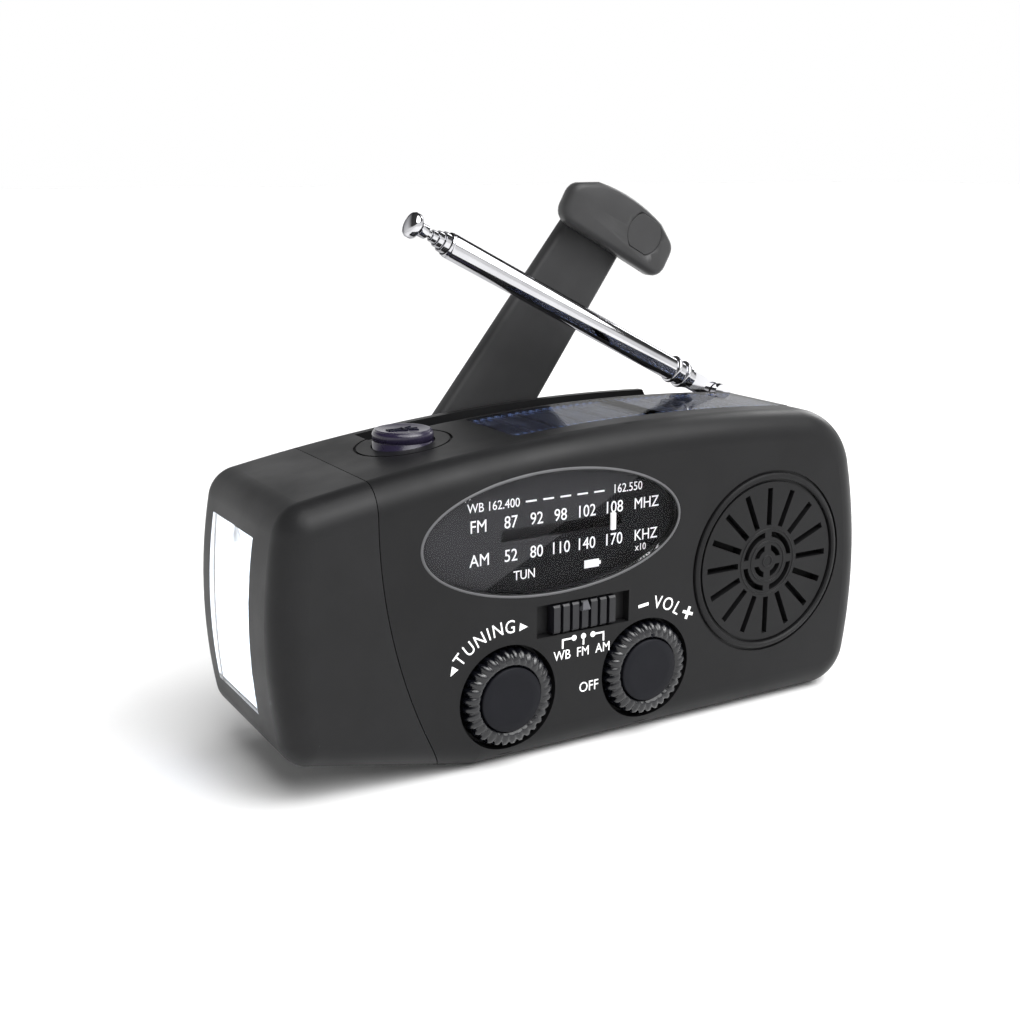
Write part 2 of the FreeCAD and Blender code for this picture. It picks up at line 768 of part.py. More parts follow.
def knob(name, x):
    face = front - S["knob_stand"]
    foot = front + S["knob_recess_depth"] - S["gap"]
    rim = S["knob_radius"]
    stub = S["stub_radius"]
    profile = [(0, face), (rim * 0.58, face), (rim * 0.62, face + 0.5), (rim - 0.5, face + 0.5),
               (rim, face + 1.1), (rim, foot), (stub, foot), (stub, control_front - S["gap"]),
               (0, control_front - S["gap"])]
    return node(turned(name, "y", (x, S["knob_z"]), profile))


control_front = front + S["knob_recess_depth"] + 2.3


def controls():
    knob("tuning_knob", S["tuning_x"])
    knob("volume_knob", S["volume_x"])
    for name, x, half in (("tuning_capacitor", S["tuning_x"], 10.0), ("volume_control", S["volume_x"], 8.0)):
        node(block(name, (x - half, x + half), (control_front, S["board_front"]),
                   (S["knob_z"] - half, S["knob_z"] + half)))
    half_slider = S["slider_width"] / 2
    half_window = S["band_window_height"] / 2 - S["gap"]
    cap = block("slider_cap", (S["band_x"] - half_slider, S["band_x"] + half_slider),
                (front - S["slider_stand"], inner_front - 0.6),
                (S["band_z"] - half_window, S["band_z"] + half_window))
    switch_front = inner_front + 1.6
    stem = block("slider_stem", (S["band_x"] - 2, S["band_x"] + 2), (inner_front - 0.8, switch_front - S["gap"]),
                 (S["band_z"] - 1.5, S["band_z"] + 1.5))
    node(join("band_slider", cap, stem))
    node(block("band_switch", (S["band_x"] - 9, S["band_x"] + 9), (switch_front, S["board_front"]),
               (S["band_z"] - 2.6, S["band_z"] + 4.4)))


dial()
controls()


# ---------------------------------------------------------------- lamp button

def lamp_button():
    top_face = button_top
    radius = S["button_radius"]
    skirt = switch_top + S["button_travel"] + S["gap"] + 0.8
    profile = [(0, top_face), (radius - 1.2, top_face), (radius, top_face - 0.9), (radius, skirt),
               (radius + 1.2, skirt), (radius + 1.2, skirt - 0.8), (0, skirt - 0.8)]
    node(turned("lamp_button", "z", (S["button_x"], S["button_y"]), profile))
    node(block("lamp_switch", (S["button_x"] - 3, S["button_x"] + 3), (S["button_y"] - 3, S["button_y"] + 3),
               (switch_shelf + S["board_thickness"], switch_top)))
    node(block("switch_board", (S["button_x"] - 9, S["button_x"] + 9), (S["button_y"] - 4.5, S["button_y"] + 6),
               (switch_shelf, switch_shelf + S["board_thickness"])))


lamp_button()


# ---------------------------------------------------------------- solar panel

def solar_panel():
    for name, low, high in (("solar_cover", S["panel_cover_thickness"], 0),
                            ("solar_cell", panel_depth, S["panel_cover_thickness"])):
        clear = 0.1
        slab = block(name + "_slab", (S["panel_left"] + clear, S["panel_right"] - clear),
                     (S["panel_front"] + clear, S["panel_back"] - clear), (top - 12, top + 2))
        sheet = meet(name + "_sheet", slab, top_roll(name + "_high", high, (front, back)))
        node(cut(name, sheet, top_roll(name + "_low", low, (front, back))))


solar_panel()


# ---------------------------------------------------------------- speaker

def speaker():
    x, z = S["speaker_x"], S["speaker_z"]
    at, start = (x, z), inner_front
    rim, throat = S["speaker_radius"] + 1.2, as_size(9.0)
    frame = [(rim - 1.2, start), (rim, start), (rim, start + 1.6), (throat, start + 8.6), (throat, start + 9.6),
             (5.0, start + 9.6), (5.0, start + 8.2), (rim - 2.2, start + 1.4), (rim - 1.2, start + 1.4)]
    node(turned("speaker_frame", "y", at, frame))
    cone_rim = rim - 2.6
    cone = [(0, start + 4.6), (4.0, start + 5.6), (cone_rim, start + 0.6), (cone_rim, start + 1.0),
            (4.0, start + 6.2), (0, start + 5.2)]
    node(turned("speaker_cone", "y", at, cone))
    magnet = [(0, start + 9.6), (10.5, start + 9.6), (10.5, start + 15.0), (0, start + 15.0)]
    node(turned("speaker_magnet", "y", at, magnet))


speaker()


# ---------------------------------------------------------------- boards, aerial coil and battery

def electronics():
    tuning, volume, board_low = S["tuning_x"], S["volume_x"], 4.8
    node(padded("main_board", rectangle((tuning - 13.2, volume + 9.8), (board_low, 51.0)),
                (S["board_front"], board_back)))
    rod_y, rod_z = board_back + 5.0, as_size(40.0)
    node(rod("ferrite_rod", "x", (rod_y, rod_z), (-39.0, -5.0), 4.0))
    coil = rod("coil_body", "x", (rod_y, rod_z), (-36.0, -22.0), 5.0)
    node(cut("ferrite_coil", coil, rod("coil_bore", "x", (rod_y, rod_z), (-37.0, -21.0), 4.0)))
    cell_z, cell_y = bottom + S["wall"] + S["cell_radius"] + 0.2, inner_back - S["cell_radius"] - 2.2
    cell_right = S["cell_left"] + S["cell_length"]
    node(rod("battery_cell", "x", (cell_y, cell_z), (S["cell_left"], cell_right), S["cell_radius"]))
    plates = [block("contact_%d" % index, (x, x + 0.6), (cell_y - 5, cell_y + 5), (cell_z - 5, cell_z + 5))
              for index, x in enumerate((S["cell_left"] - 0.6, cell_right))]
    node(group("battery_contacts", *plates))


electronics()


# ---------------------------------------------------------------- ports

def ports():
    shell_end = S["flap_seat"] - 0.3
    out_low, out_high = as_size(14.2), as_size(19.8)
    shell = block("usb_out_shell", (shell_end - 13, shell_end), (port_y - 6.5, port_y + 6.5),
                  (out_low, out_high))
    mouth = block("usb_out_mouth", (shell_end - 11, shell_end + 1), (port_y - 6.1, port_y + 6.1),
                  (out_low + 0.4, out_high - 0.4))
    tongue = block("usb_out_tongue", (shell_end - 12, shell_end - 1), (port_y - 5.4, port_y + 5.4),
                   (out_low + 0.9, out_low + 2.7))
    node(join("usb_out_port", cut("usb_out_hollow", shell, mouth), tongue))
    shell = block("usb_in_shell", (shell_end - 6, shell_end), (port_y - 3.8, port_y + 3.8), (25.1, 27.9))
    mouth = block("usb_in_mouth", (shell_end - 5, shell_end + 1), (port_y - 3.5, port_y + 3.5), (25.4, 27.6))
    node(cut("usb_in_port", shell, mouth))
    node(block("port_board", (shell_end - 13, shell_end - 1), (port_y - 7, port_y + 7), (20.6, 22.2)))
    gap, knuckle = S["gap"], S["flap_knuckle"]
    knuckle_z = S["flap_bottom"] + gap + knuckle + 0.4
    leaf = block("flap_leaf", (S["flap_seat"] + 0.2, right + 2), (S["flap_front"] + gap, S["flap_back"] - gap),
                 (knuckle_z, S["flap_top"] - gap))
    trimmed = meet("flap_trimmed", leaf, end_roll("flap_roll", 0, (front, back)))
    barrel = rod("flap_barrel", "y", (S["flap_seat"] + 0.2 + knuckle, knuckle_z),
                 (S["flap_front"] + gap, S["flap_back"] - gap), knuckle)
    node(join("port_cover", trimmed, barrel))


ports()


# ---------------------------------------------------------------- battery door

def battery_door():
    half = S["door_thickness"] / 2
    across = (S["door_left"], S["door_right"])
    hinge_z = S["door_bottom"] + half
    leaf = block("door_leaf", across, (back - 2 * half, back), (hinge_z, S["door_top"]))
    barrel = rod("door_barrel", "x", (back - half, hinge_z), across, half)
    node(join("battery_door", leaf, barrel))


battery_door()


# ---------------------------------------------------------------- crank, gears and generator

hub = (S["hub_x"], S["hub_z"])
pin_at = (S["hub_x"] + S["grip_reach"] * sine(S["crank_angle"]),
          S["hub_z"] + S["grip_reach"] * cosine(S["crank_angle"]))
step_reach = S["crank_gear_radius"] + S["step_pinion_radius"] + S["running_gap"] * 2
step_at = (S["hub_x"] + step_reach * cosine(S["step_bearing"]),
           S["hub_z"] + step_reach * sine(S["step_bearing"]))
rotor_at = (step_at[0] + S["step_gear_radius"] + S["rotor_pinion_radius"] + S["running_gap"] * 2, step_at[1])
plate_front, plate_back = S["plate_back"] - S["plate_thickness"], S["plate_back"]
step_gear_y = (plate_back + 0.6, plate_back + 0.6 + S["gear_width"])
crank_gear_y = (step_gear_y[1] + 0.6, step_gear_y[1] + 0.6 + S["gear_width"])


def gear(name, at, span, tip_radius, teeth, bore):
    """A spur gear: a disc with square notches between its teeth."""
    disc = rod(name + "_disc", "y", at, span, tip_radius)
    pitch = 360.0 / teeth
    width = tip_radius * (math.pi / teeth)
    tools = [rod(name + "_bore", "y", at, (span[0] - 1, span[1] + 1), bore)]
    depth = width * 1.1
    for tooth in range(teeth):
        angle = tooth * pitch
        notch = block("%s_notch_%d" % (name, tooth), (0, depth + 1), (0, span[1] - span[0] + 2), (0, width))
        notch.Placement = tilted_at_origin(angle)
        start = tip_radius - depth
        place(notch, at[0] + start * cosine(angle) + width / 2 * sine(angle), span[0] - 1,
              at[1] + start * sine(angle) - width / 2 * cosine(angle))
        tools.append(notch)
    return cut(name, disc, *tools)


def crank():
    shaft, gap, running = S["shaft_radius"], S["gap"], S["running_gap"]
    bush = [(shaft + running, inner_back - 2.6), (S["bush_radius"], inner_back - 2.6), (S["bush_radius"], back),
            (shaft + running, back)]
    node(turned("crank_bush", "y", hub, bush))
    stem = [(0, plate_front), (shaft - 1, plate_front), (shaft - 1, plate_back + gap),
            (shaft, plate_back + gap), (shaft, arm_front), (0, arm_front)]
    node(turned("crank_shaft", "y", hub, stem))
    node(gear("crank_gear", hub, crank_gear_y, S["crank_gear_radius"], 45, shaft))
    node(arm())
    node(rod("crank_screw", "y", hub, (arm_back - 1.6, arm_back - 0.2), 3.2))
    grip()


def swing(thing):
    """Puts a part drawn upright over the hub at the crank's standing angle."""
    tilt_about_y(thing, S["crank_angle"])
    place(thing, S["hub_x"], 0, S["hub_z"])
    return thing


def arm():
    y = (arm_front, arm_back)
    reach, wide, narrow = S["grip_reach"], S["arm_half_width_hub"], S["arm_half_width_grip"]
    end = reach + S["grip_inner"] - 0.9
    blade = padded("arm_blade", [(-wide, 0), (wide, 0), (narrow, end), (-narrow, end)], y)
    eye = rod("arm_eye", "y", (0, 0), y, S["hub_radius"])
    tools = [rod("arm_screw_hole", "y", (0, 0), (arm_back - 1.6, arm_back + 1), 3.2),
             rod("arm_pin_hole", "y", (0, reach), (arm_front - 1, arm_back + 1), S["grip_pin_radius"])]
    return swing(cut("crank_arm", join("arm_solid", blade, eye), *tools))


def hold(thing):
    """Puts a part drawn round the grip's pin at the pin's place, at the grip's own tilt."""
    tilt_about_y(thing, S["grip_tilt"])
    place(thing, pin_at[0], 0, pin_at[1])
    return thing


def grip():
    y = (grip_front, grip_back)
    span = block("grip_span", (-S["grip_left"], S["grip_right"]), y, (-S["grip_inner"], S["grip_outer"]))
    crown = rod("grip_crown", "y", (S["grip_crown_shift"], S["grip_outer"] - S["grip_crown_radius"]), y,
                S["grip_crown_radius"])
    corner = 3.0

    def soften(edge):
        if along_y(edge):
            return corner
        return None

    soft = rounded("grip_soft", meet("grip_paddle", span, crown), soften)
    pin_floor, cap_floor = grip_front + 1.2, grip_front + 0.8
    bore_radius = S["grip_pin_radius"] + S["running_gap"]
    pin_bore = rod("grip_bore", "y", (0, 0), (pin_floor, grip_back + 1), bore_radius)
    cap_at = (S["grip_cap_right"], S["grip_cap_out"])
    cap_bore = rod("grip_cap_bore", "y", cap_at, (grip_front - 1, cap_floor), S["grip_cap_radius"])
    node(hold(cut("grip", soft, pin_bore, cap_bore)))
    node(hold(lone_rod("grip_cap", cap_at, (grip_front, cap_floor), S["grip_cap_radius"])))
    node(hold(lone_rod("grip_pin", (0, 0), (pin_floor + S["gap"], arm_back - 0.2), S["grip_pin_radius"])))


def lone_rod(name, at, span, radius):
    """A rod kept as the only piece of a compound, so that the compound can be tilted."""
    return group(name, rod(name + "_rod", "y", at, span, radius))


def gearbox():
    running, axle = S["running_gap"], S["axle_radius"]
    posts_at = [(-38.0, 36.0), (21.5, 43.5), (21.5, 22.5), (-38.0, 21.5)]
    outline = rectangle((-41.0, 24.5), (19.0, switch_shelf))
    plate = padded("gearbox_blank", outline, (plate_front, plate_back),
                   holes=[(hub, S["shaft_radius"] - 1 + running), (rotor_at, 3.2)])
    posts = [rod("gearbox_post_%d" % index, "y", at, (plate_back - 0.2, inner_back), 2.4)
             for index, at in enumerate(posts_at)]
    node(join("gearbox_plate", plate, *posts))
    node(rod("step_axle", "y", step_at, (plate_back, inner_back), axle))
    wheel = gear("step_wheel", step_at, step_gear_y, S["step_gear_radius"], 33, axle + running)
    pinion = gear("step_pinion", step_at, (step_gear_y[1] - 0.01, crank_gear_y[1]), S["step_pinion_radius"], 12,
                  axle + running)
    node(join("step_gear", wheel, pinion))
    generator_front = plate_front - S["generator_length"]
    radius = S["generator_radius"]
    case = [(2.0, plate_front), (radius, plate_front), (radius, generator_front), (0, generator_front),
            (0, generator_front + 1), (radius - 1, generator_front + 1), (radius - 1, plate_front - 1),
            (2.0, plate_front - 1)]
    node(turned("generator_case", "y", rotor_at, case))
    magnet_y = (generator_front + 2, plate_front - 2)
    magnet = rod("magnet_blank", "y", rotor_at, magnet_y, radius - 3)
    node(cut("rotor_magnet", magnet, rod("magnet_bore", "y", rotor_at, (generator_front, plate_front), 1.0)))
    node(rod("rotor_shaft", "y", rotor_at, (generator_front + 1.4, step_gear_y[1]), 1.0))
    node(gear("rotor_pinion", rotor_at, step_gear_y, S["rotor_pinion_radius"], 9, 1.0))


crank()
gearbox()


# ---------------------------------------------------------------- antenna

def stand(thing):
    """Puts a part drawn upright over the antenna's pivot at the antenna's standing angle."""
    tilt_about_y(thing, S["antenna_angle"] - 90)
    place(thing, S["antenna_x"], S["antenna_y"], pivot_z)
    return thing


def antenna_fork():
    x, y, z = S["antenna_x"], S["antenna_y"], pivot_z
    knuckle, pin, gap = S["antenna_knuckle"], S["antenna_pin_radius"], S["gap"]
    shapes = [block("fork_foot", (x - seat_half, x + seat_half), (fork_front, fork_back),
                    (fork_base, z - knuckle - gap))]
    for index, low in enumerate((fork_front, fork_back - S["antenna_cheek"])):
        across = (low, low + S["antenna_cheek"])
        shapes.append(block("fork_stand_%d" % index, (x - knuckle, x + knuckle), across, (fork_base, z)))
        shapes.append(rod("fork_end_%d" % index, "y", (x, z), across, knuckle))
    pin_hole = rod("fork_pin_hole", "y", (x, z), (fork_front - 1, fork_back + 1), pin)
    node(cut("antenna_bracket", join("fork_solid", *shapes), pin_hole))
    node(rod("antenna_pin", "y", (x, z), (fork_front, fork_back), pin))


def antenna_knuckle():
    half, neck_end = S["antenna_tongue"] / 2, S["antenna_neck"]
    thick = S["antenna_knuckle"] - S["gap"]
    plug_radius = S["antenna_radius"] - S["antenna_wall"] - S["running_gap"]
    shapes = [rod("knuckle_eye", "y", (0, 0), (-half, half), thick),
              block("knuckle_neck", (-thick, thick), (-half, half), (0, neck_end)),
              rod("knuckle_plug", "z", (0, 0), (neck_end - 1, neck_end + 4), plug_radius)]
    hole_radius = S["antenna_pin_radius"] + S["running_gap"]
    eye_hole = rod("knuckle_hole", "y", (0, 0), (-half - 1, half + 1), hole_radius)
    node(stand(cut("antenna_knuckle", join("knuckle_solid", *shapes), eye_hole)))


def antenna_tubes():
    """The widest tube with its two rings, three more tubes and a rod, each nested in the one before."""
    radius, low, high = S["antenna_radius"], S["antenna_neck"], S["antenna_length"]
    band = S["ferrule_width"]
    rings = [hoop("ferrule_%d" % index, "z", (0, 0), (start, start + band),
                  (S["ferrule_radius"] + radius) / 2, S["ferrule_radius"] - radius)
             for index, start in enumerate((low + 1, low + 1 + band * 3))]
    sleeve = cut("outer_sleeve", rod("tube_1", "z", (0, 0), (low, high), radius),
                 rod("bore_1", "z", (0, 0), (low - 1, high + 1), radius - S["antenna_wall"]))
    node(stand(join("antenna_section_1", sleeve, *rings)))
    low = low + 5
    for section in range(2, inner_sections + 2):
        radius = radius - S["antenna_step"]
        high = high + S["antenna_show"]
        outside = rod("tube_%d" % section, "z", (0, 0), (low, high), radius)
        name = "antenna_section_%d" % section
        if section == inner_sections + 1:
            node(stand(group(name, outside)))
        else:
            bore = rod("bore_%d" % section, "z", (0, 0), (low - 1, high + 1), radius - S["antenna_wall"])
            node(stand(cut(name, outside, bore)))
        low = low + 1
    antenna_tip(high)


def antenna_tip(start):
    end, radius = start + S["antenna_tip_length"], S["antenna_tip_radius"]
    stem = S["antenna_tip_radius"] / 2
    stem_end, flare_end = start + 1.6, start + 2.4
    node(stand(join("antenna_tip", rod("tip_stem", "z", (0, 0), (start, stem_end), stem),
                    taper("tip_flare", "z", (0, 0), (stem_end - 0.2, flare_end), stem, radius),
                    rod("tip_disc", "z", (0, 0), (flare_end, end), radius))))


antenna_fork()
antenna_knuckle()
antenna_tubes()


# ---------------------------------------------------------------- screws and feet

def screws():
    pieces = []
    for index, at in enumerate(SCREWS):
        head = rod("screw_head_%d" % index, "y", at, (back - 2.2, back - 0.4), S["screw_head_radius"] - 0.1)
        shank = rod("screw_shank_%d" % index, "y", at, (S["parting_y"] + 1.5, back - 2), S["screw_radius"])
        pieces.append(join("screw_%d" % index, head, shank))
    node(group("cover_screws", *pieces))


def feet():
    pieces = [rod("foot_%d" % index, "z", at, (0, S["foot_thickness"]), S["foot_radius"])
              for index, at in enumerate(FEET)]
    node(group("rubber_feet", *pieces))


screws()
feet()


# ---------------------------------------------------------------- check and write

def check():
    DOC.recompute()
    for thing in DOC.Objects:
        if "Invalid" in thing.State or "Error" in thing.State:
            raise RuntimeError("%s failed: %s" % (thing.Name, thing.State))
    for thing in NODES:
        if thing.Shape.isNull() or not thing.Shape.isValid() or not thing.Shape.Solids:
            raise RuntimeError("%s has no sound solid" % thing.Label)


check()
os.makedirs("parts", exist_ok=True)
for thing in NODES:
    thing.Shape.exportStep("parts/%s.step" % thing.Label)
print("%d nodes, %d solids" % (len(NODES), sum(len(thing.Shape.Solids) for thing in NODES)))
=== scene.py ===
import json
import math

import bmesh
import bpy
from mathutils import Matrix, Vector


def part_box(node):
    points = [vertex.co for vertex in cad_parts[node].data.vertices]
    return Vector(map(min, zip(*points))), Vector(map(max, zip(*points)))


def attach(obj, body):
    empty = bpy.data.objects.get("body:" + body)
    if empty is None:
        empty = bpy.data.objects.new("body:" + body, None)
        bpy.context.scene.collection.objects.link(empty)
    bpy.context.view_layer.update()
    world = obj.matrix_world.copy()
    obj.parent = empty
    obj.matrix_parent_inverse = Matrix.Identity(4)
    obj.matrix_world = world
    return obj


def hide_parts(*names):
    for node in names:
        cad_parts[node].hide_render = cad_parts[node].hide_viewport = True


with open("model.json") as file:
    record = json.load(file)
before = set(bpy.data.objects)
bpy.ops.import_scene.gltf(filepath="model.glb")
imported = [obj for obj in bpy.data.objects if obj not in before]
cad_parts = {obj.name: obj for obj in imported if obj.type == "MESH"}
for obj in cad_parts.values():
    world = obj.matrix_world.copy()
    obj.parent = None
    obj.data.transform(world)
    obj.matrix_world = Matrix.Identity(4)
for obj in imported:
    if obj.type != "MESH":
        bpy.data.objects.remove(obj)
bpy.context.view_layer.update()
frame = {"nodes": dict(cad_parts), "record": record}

MM = 0.001
NODES = frame["nodes"]


# ---------------------------------------------------------------- places taken from the frame

def box_corners(node):
    """The two opposite corners of a CAD node's box."""
    low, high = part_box(node)
    return Vector(low), Vector(high)


def middle(node):
    low, high = box_corners(node)
    return (low + high) / 2


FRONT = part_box("dial_lens")[0][1]      # Y of the front face
HUB = middle("crank_bush")
PIN = middle("grip_pin")
ARM_REACH = math.hypot(PIN.x - HUB.x, PIN.z - HUB.z)
ARM_ANGLE = math.atan2(PIN.x - HUB.x, PIN.z - HUB.z)
ANTENNA_PIVOT = middle("antenna_pin")
GRIP_TILT = 28.7                       # degrees that the grip is turned on its pin, clockwise from the front
ANTENNA_ANGLE = 27.3                   # degrees that the antenna stands above level


# ---------------------------------------------------------------- camera, floor and light

def make_camera():
    """A lens of about 48 mm, on the lamp's side and a little above the radio."""
    place = Vector((-135.9, -220.8, 106.1)) * MM
    heading, dip = 30.14, 14.21
    data = bpy.data.cameras.new("photo_camera")
    data.lens = 48.32
    data.sensor_width = 36.0
    data.clip_start = 0.01
    camera = bpy.data.objects.new("photo_camera", data)
    camera.location = place
    camera.rotation_euler = (math.radians(90 - dip), 0, math.radians(-heading))
    bpy.context.collection.objects.link(camera)
    bpy.context.scene.camera = camera


def area_light(name, place, aim, size, watts):
    data = bpy.data.lights.new(name, "AREA")
    data.shape = "RECTANGLE"
    data.size, data.size_y = size
    data.energy = watts
    lamp = bpy.data.objects.new(name, data)
    lamp.location = place
    lamp.rotation_euler = (Vector(aim) - Vector(place)).to_track_quat("-Z", "Y").to_euler()
    bpy.context.collection.objects.link(lamp)


def broad_light():
    """A soft light from high on the front right."""
    spread, lean_x, lean_y = 70, 28, 14
    sun = bpy.data.lights.new("broad", "SUN")
    sun.angle = math.radians(spread)
    sun.energy = 3.7
    lamp = bpy.data.objects.new("broad", sun)
    lamp.rotation_euler = (math.radians(lean_x), math.radians(lean_y), 0)
    bpy.context.collection.objects.link(lamp)


def make_world():
    """A white horizon that fades into a dim dome overhead."""
    fade_starts, fade_ends = 0.28, 0.45
    horizon, dome = 1.0, 0.06
    world = bpy.data.worlds.new("studio")
    world.use_nodes = True
    tree = world.node_tree
    places = tree.nodes.new("ShaderNodeTexCoord")
    split = tree.nodes.new("ShaderNodeSeparateXYZ")
    tree.links.new(places.outputs["Generated"], split.inputs["Vector"])
    fade = tree.nodes.new("ShaderNodeMapRange")
    fade.interpolation_type = "SMOOTHSTEP"
    fade.inputs["From Min"].default_value = fade_starts
    fade.inputs["From Max"].default_value = fade_ends
    fade.inputs["To Min"].default_value = horizon
    fade.inputs["To Max"].default_value = dome
    tree.links.new(split.outputs["Z"], fade.inputs["Value"])
    background = tree.nodes["Background"]
    background.inputs["Color"].default_value = (1, 1, 1, 1)
    tree.links.new(fade.outputs["Result"], background.inputs["Strength"])
    bpy.context.scene.world = world


def floor_material():
    material = bpy.data.materials.new("pale_floor")
    material.use_nodes = True
    shader = material.node_tree.nodes["Principled BSDF"]
    shader.inputs["Base Color"].default_value = (0.9, 0.9, 0.9, 1)
    shader.inputs["Roughness"].default_value = 0.7
    shader.inputs["Specular IOR Level"].default_value = 0.2
    return material


def make_floor():
    half = 6.0
    data = bpy.data.meshes.new("floor")
    data.from_pydata([(-half, -half, 0), (half, -half, 0), (half, half, 0), (-half, half, 0)], [],
                     [(0, 1, 2, 3)])
    data.materials.append(floor_material())
    floor = bpy.data.objects.new("floor", data)
    bpy.context.collection.objects.link(floor)


def make_studio():
    bpy.context.scene.view_settings.view_transform = "Standard"
    make_world()
    broad_light()
    area_light("key", (0.25, -0.45, 0.75), (0, 0, 0.03), (0.5, 0.35), 3.0)
    area_light("rim", (0.6, 0.3, 0.35), (0.03, 0, 0.04), (0.25, 0.35), 1.5)
    make_floor()


# ---------------------------------------------------------------- material building

class Look:
    """A Principled material with procedural colour, roughness and bump, in object coordinates."""

    def __init__(self, name, colour, rough, metallic=0.0):
        self.material = bpy.data.materials.new(name)
        self.material.use_nodes = True
        self.tree = self.material.node_tree
        self.shader = self.tree.nodes["Principled BSDF"]
        self.set("Base Color", (*colour, 1))
        self.set("Roughness", rough)
        self.set("Metallic", metallic)
        self.colour, self.rough = colour, rough
        self.places = self.node("ShaderNodeTexCoord").outputs["Object"]
        self.bump = None

    def node(self, kind, **settings):
        made = self.tree.nodes.new(kind)
        for key, setting in settings.items():
            setattr(made, key, setting)
        return made

    def set(self, socket, number):
        self.shader.inputs[socket].default_value = number

    def link(self, start, end):
        self.tree.links.new(start, end)

    def noise(self, size, detail=3.0, stretch=None):
        texture = self.node("ShaderNodeTexNoise")
        texture.inputs["Scale"].default_value = 1.0 / size
        texture.inputs["Detail"].default_value = detail
        places = self.places
        if stretch:
            mapping = self.node("ShaderNodeMapping")
            mapping.inputs["Scale"].default_value = stretch
            self.link(places, mapping.inputs["Vector"])
            places = mapping.outputs["Vector"]
        self.link(places, texture.inputs["Vector"])
        return texture.outputs["Fac"]

    def ramp(self, source, low, high, low_at=0.35, high_at=0.65):
        scale = self.node("ShaderNodeMapRange")
        for name, number in (("From Min", low_at), ("From Max", high_at), ("To Min", low), ("To Max", high)):
            scale.inputs[name].default_value = number
        self.link(source, scale.inputs["Value"])
        return scale.outputs["Result"]

    def mottle(self, size, amount):
        """Slow lightening and darkening of the colour."""
        mix = self.node("ShaderNodeMix", data_type="RGBA")
        mix.inputs["A"].default_value = (*[c * (1 - amount) for c in self.colour], 1)
        mix.inputs["B"].default_value = (*[min(c * (1 + amount), 1) for c in self.colour], 1)
        self.link(self.ramp(self.noise(size), 0, 1), mix.inputs["Factor"])
        self.link(mix.outputs["Result"], self.shader.inputs["Base Color"])
        return self

    def smudge(self, size, spread):
        """Roughness that wanders, as handling leaves it."""
        wander = self.ramp(self.noise(size, detail=4.0), self.rough - spread, self.rough + spread)
        self.link(wander, self.shader.inputs["Roughness"])
        return self

    def grain(self, size, depth, strength=1.0, stretch=None, detail=2.0):
        """Fine moulded texture; layers add up."""
        bump = self.node("ShaderNodeBump")
        bump.inputs["Strength"].default_value = strength
        bump.inputs["Distance"].default_value = depth
        self.link(self.noise(size, detail, stretch), bump.inputs["Height"])
        if self.bump:
            self.link(self.bump.outputs["Normal"], bump.inputs["Normal"])
        self.link(bump.outputs["Normal"], self.shader.inputs["Normal"])
        self.bump = bump
        return self


def moulded(name, colour, rough, size=0.35 * MM, depth=0.02 * MM):
    look = Look(name, colour, rough)
    look.mottle(9 * MM, 0.07).smudge(14 * MM, 0.05).grain(size, depth, 0.5).grain(5 * MM, 0.03 * MM, 0.35)
    look.set("Specular IOR Level", 0.18)
    return look


def gloss(name, colour, rough, coat=0.6):
    look = Look(name, colour, rough)
    look.mottle(6 * MM, 0.08).smudge(7 * MM, 0.04).grain(4 * MM, 0.01 * MM, 0.3)
    look.set("Coat Weight", coat)
    look.set("Coat Roughness", 0.06)
    return look


def metal(name, colour, rough, stretch=None, size=0.6 * MM):
    look = Look(name, colour, rough, metallic=1.0)
    look.mottle(8 * MM, 0.06).smudge(5 * MM, rough * 0.4).grain(size, 0.004 * MM, 0.4, stretch)
    return look


def clear(name, colour, rough, ior=1.49, ripple=0.006):
    look = Look(name, colour, rough)
    look.set("Transmission Weight", 1.0)
    look.set("IOR", ior)
    look.mottle(12 * MM, 0.01).smudge(9 * MM, rough * 0.4).grain(6 * MM, ripple * MM, 0.2)
    return look


def printed(name, colour, painted_glow=0.0):
    look = Look(name, colour, 0.45)
    look.mottle(0.6 * MM, 0.03).smudge(1.5 * MM, 0.06).grain(0.2 * MM, 0.004 * MM, 0.3)
    # Painted light: if given, the print shines by itself, brighter than the lamps light it.
    if painted_glow:
        look.set("Emission Color", (*colour, 1))
        look.set("Emission Strength", painted_glow)
    return look


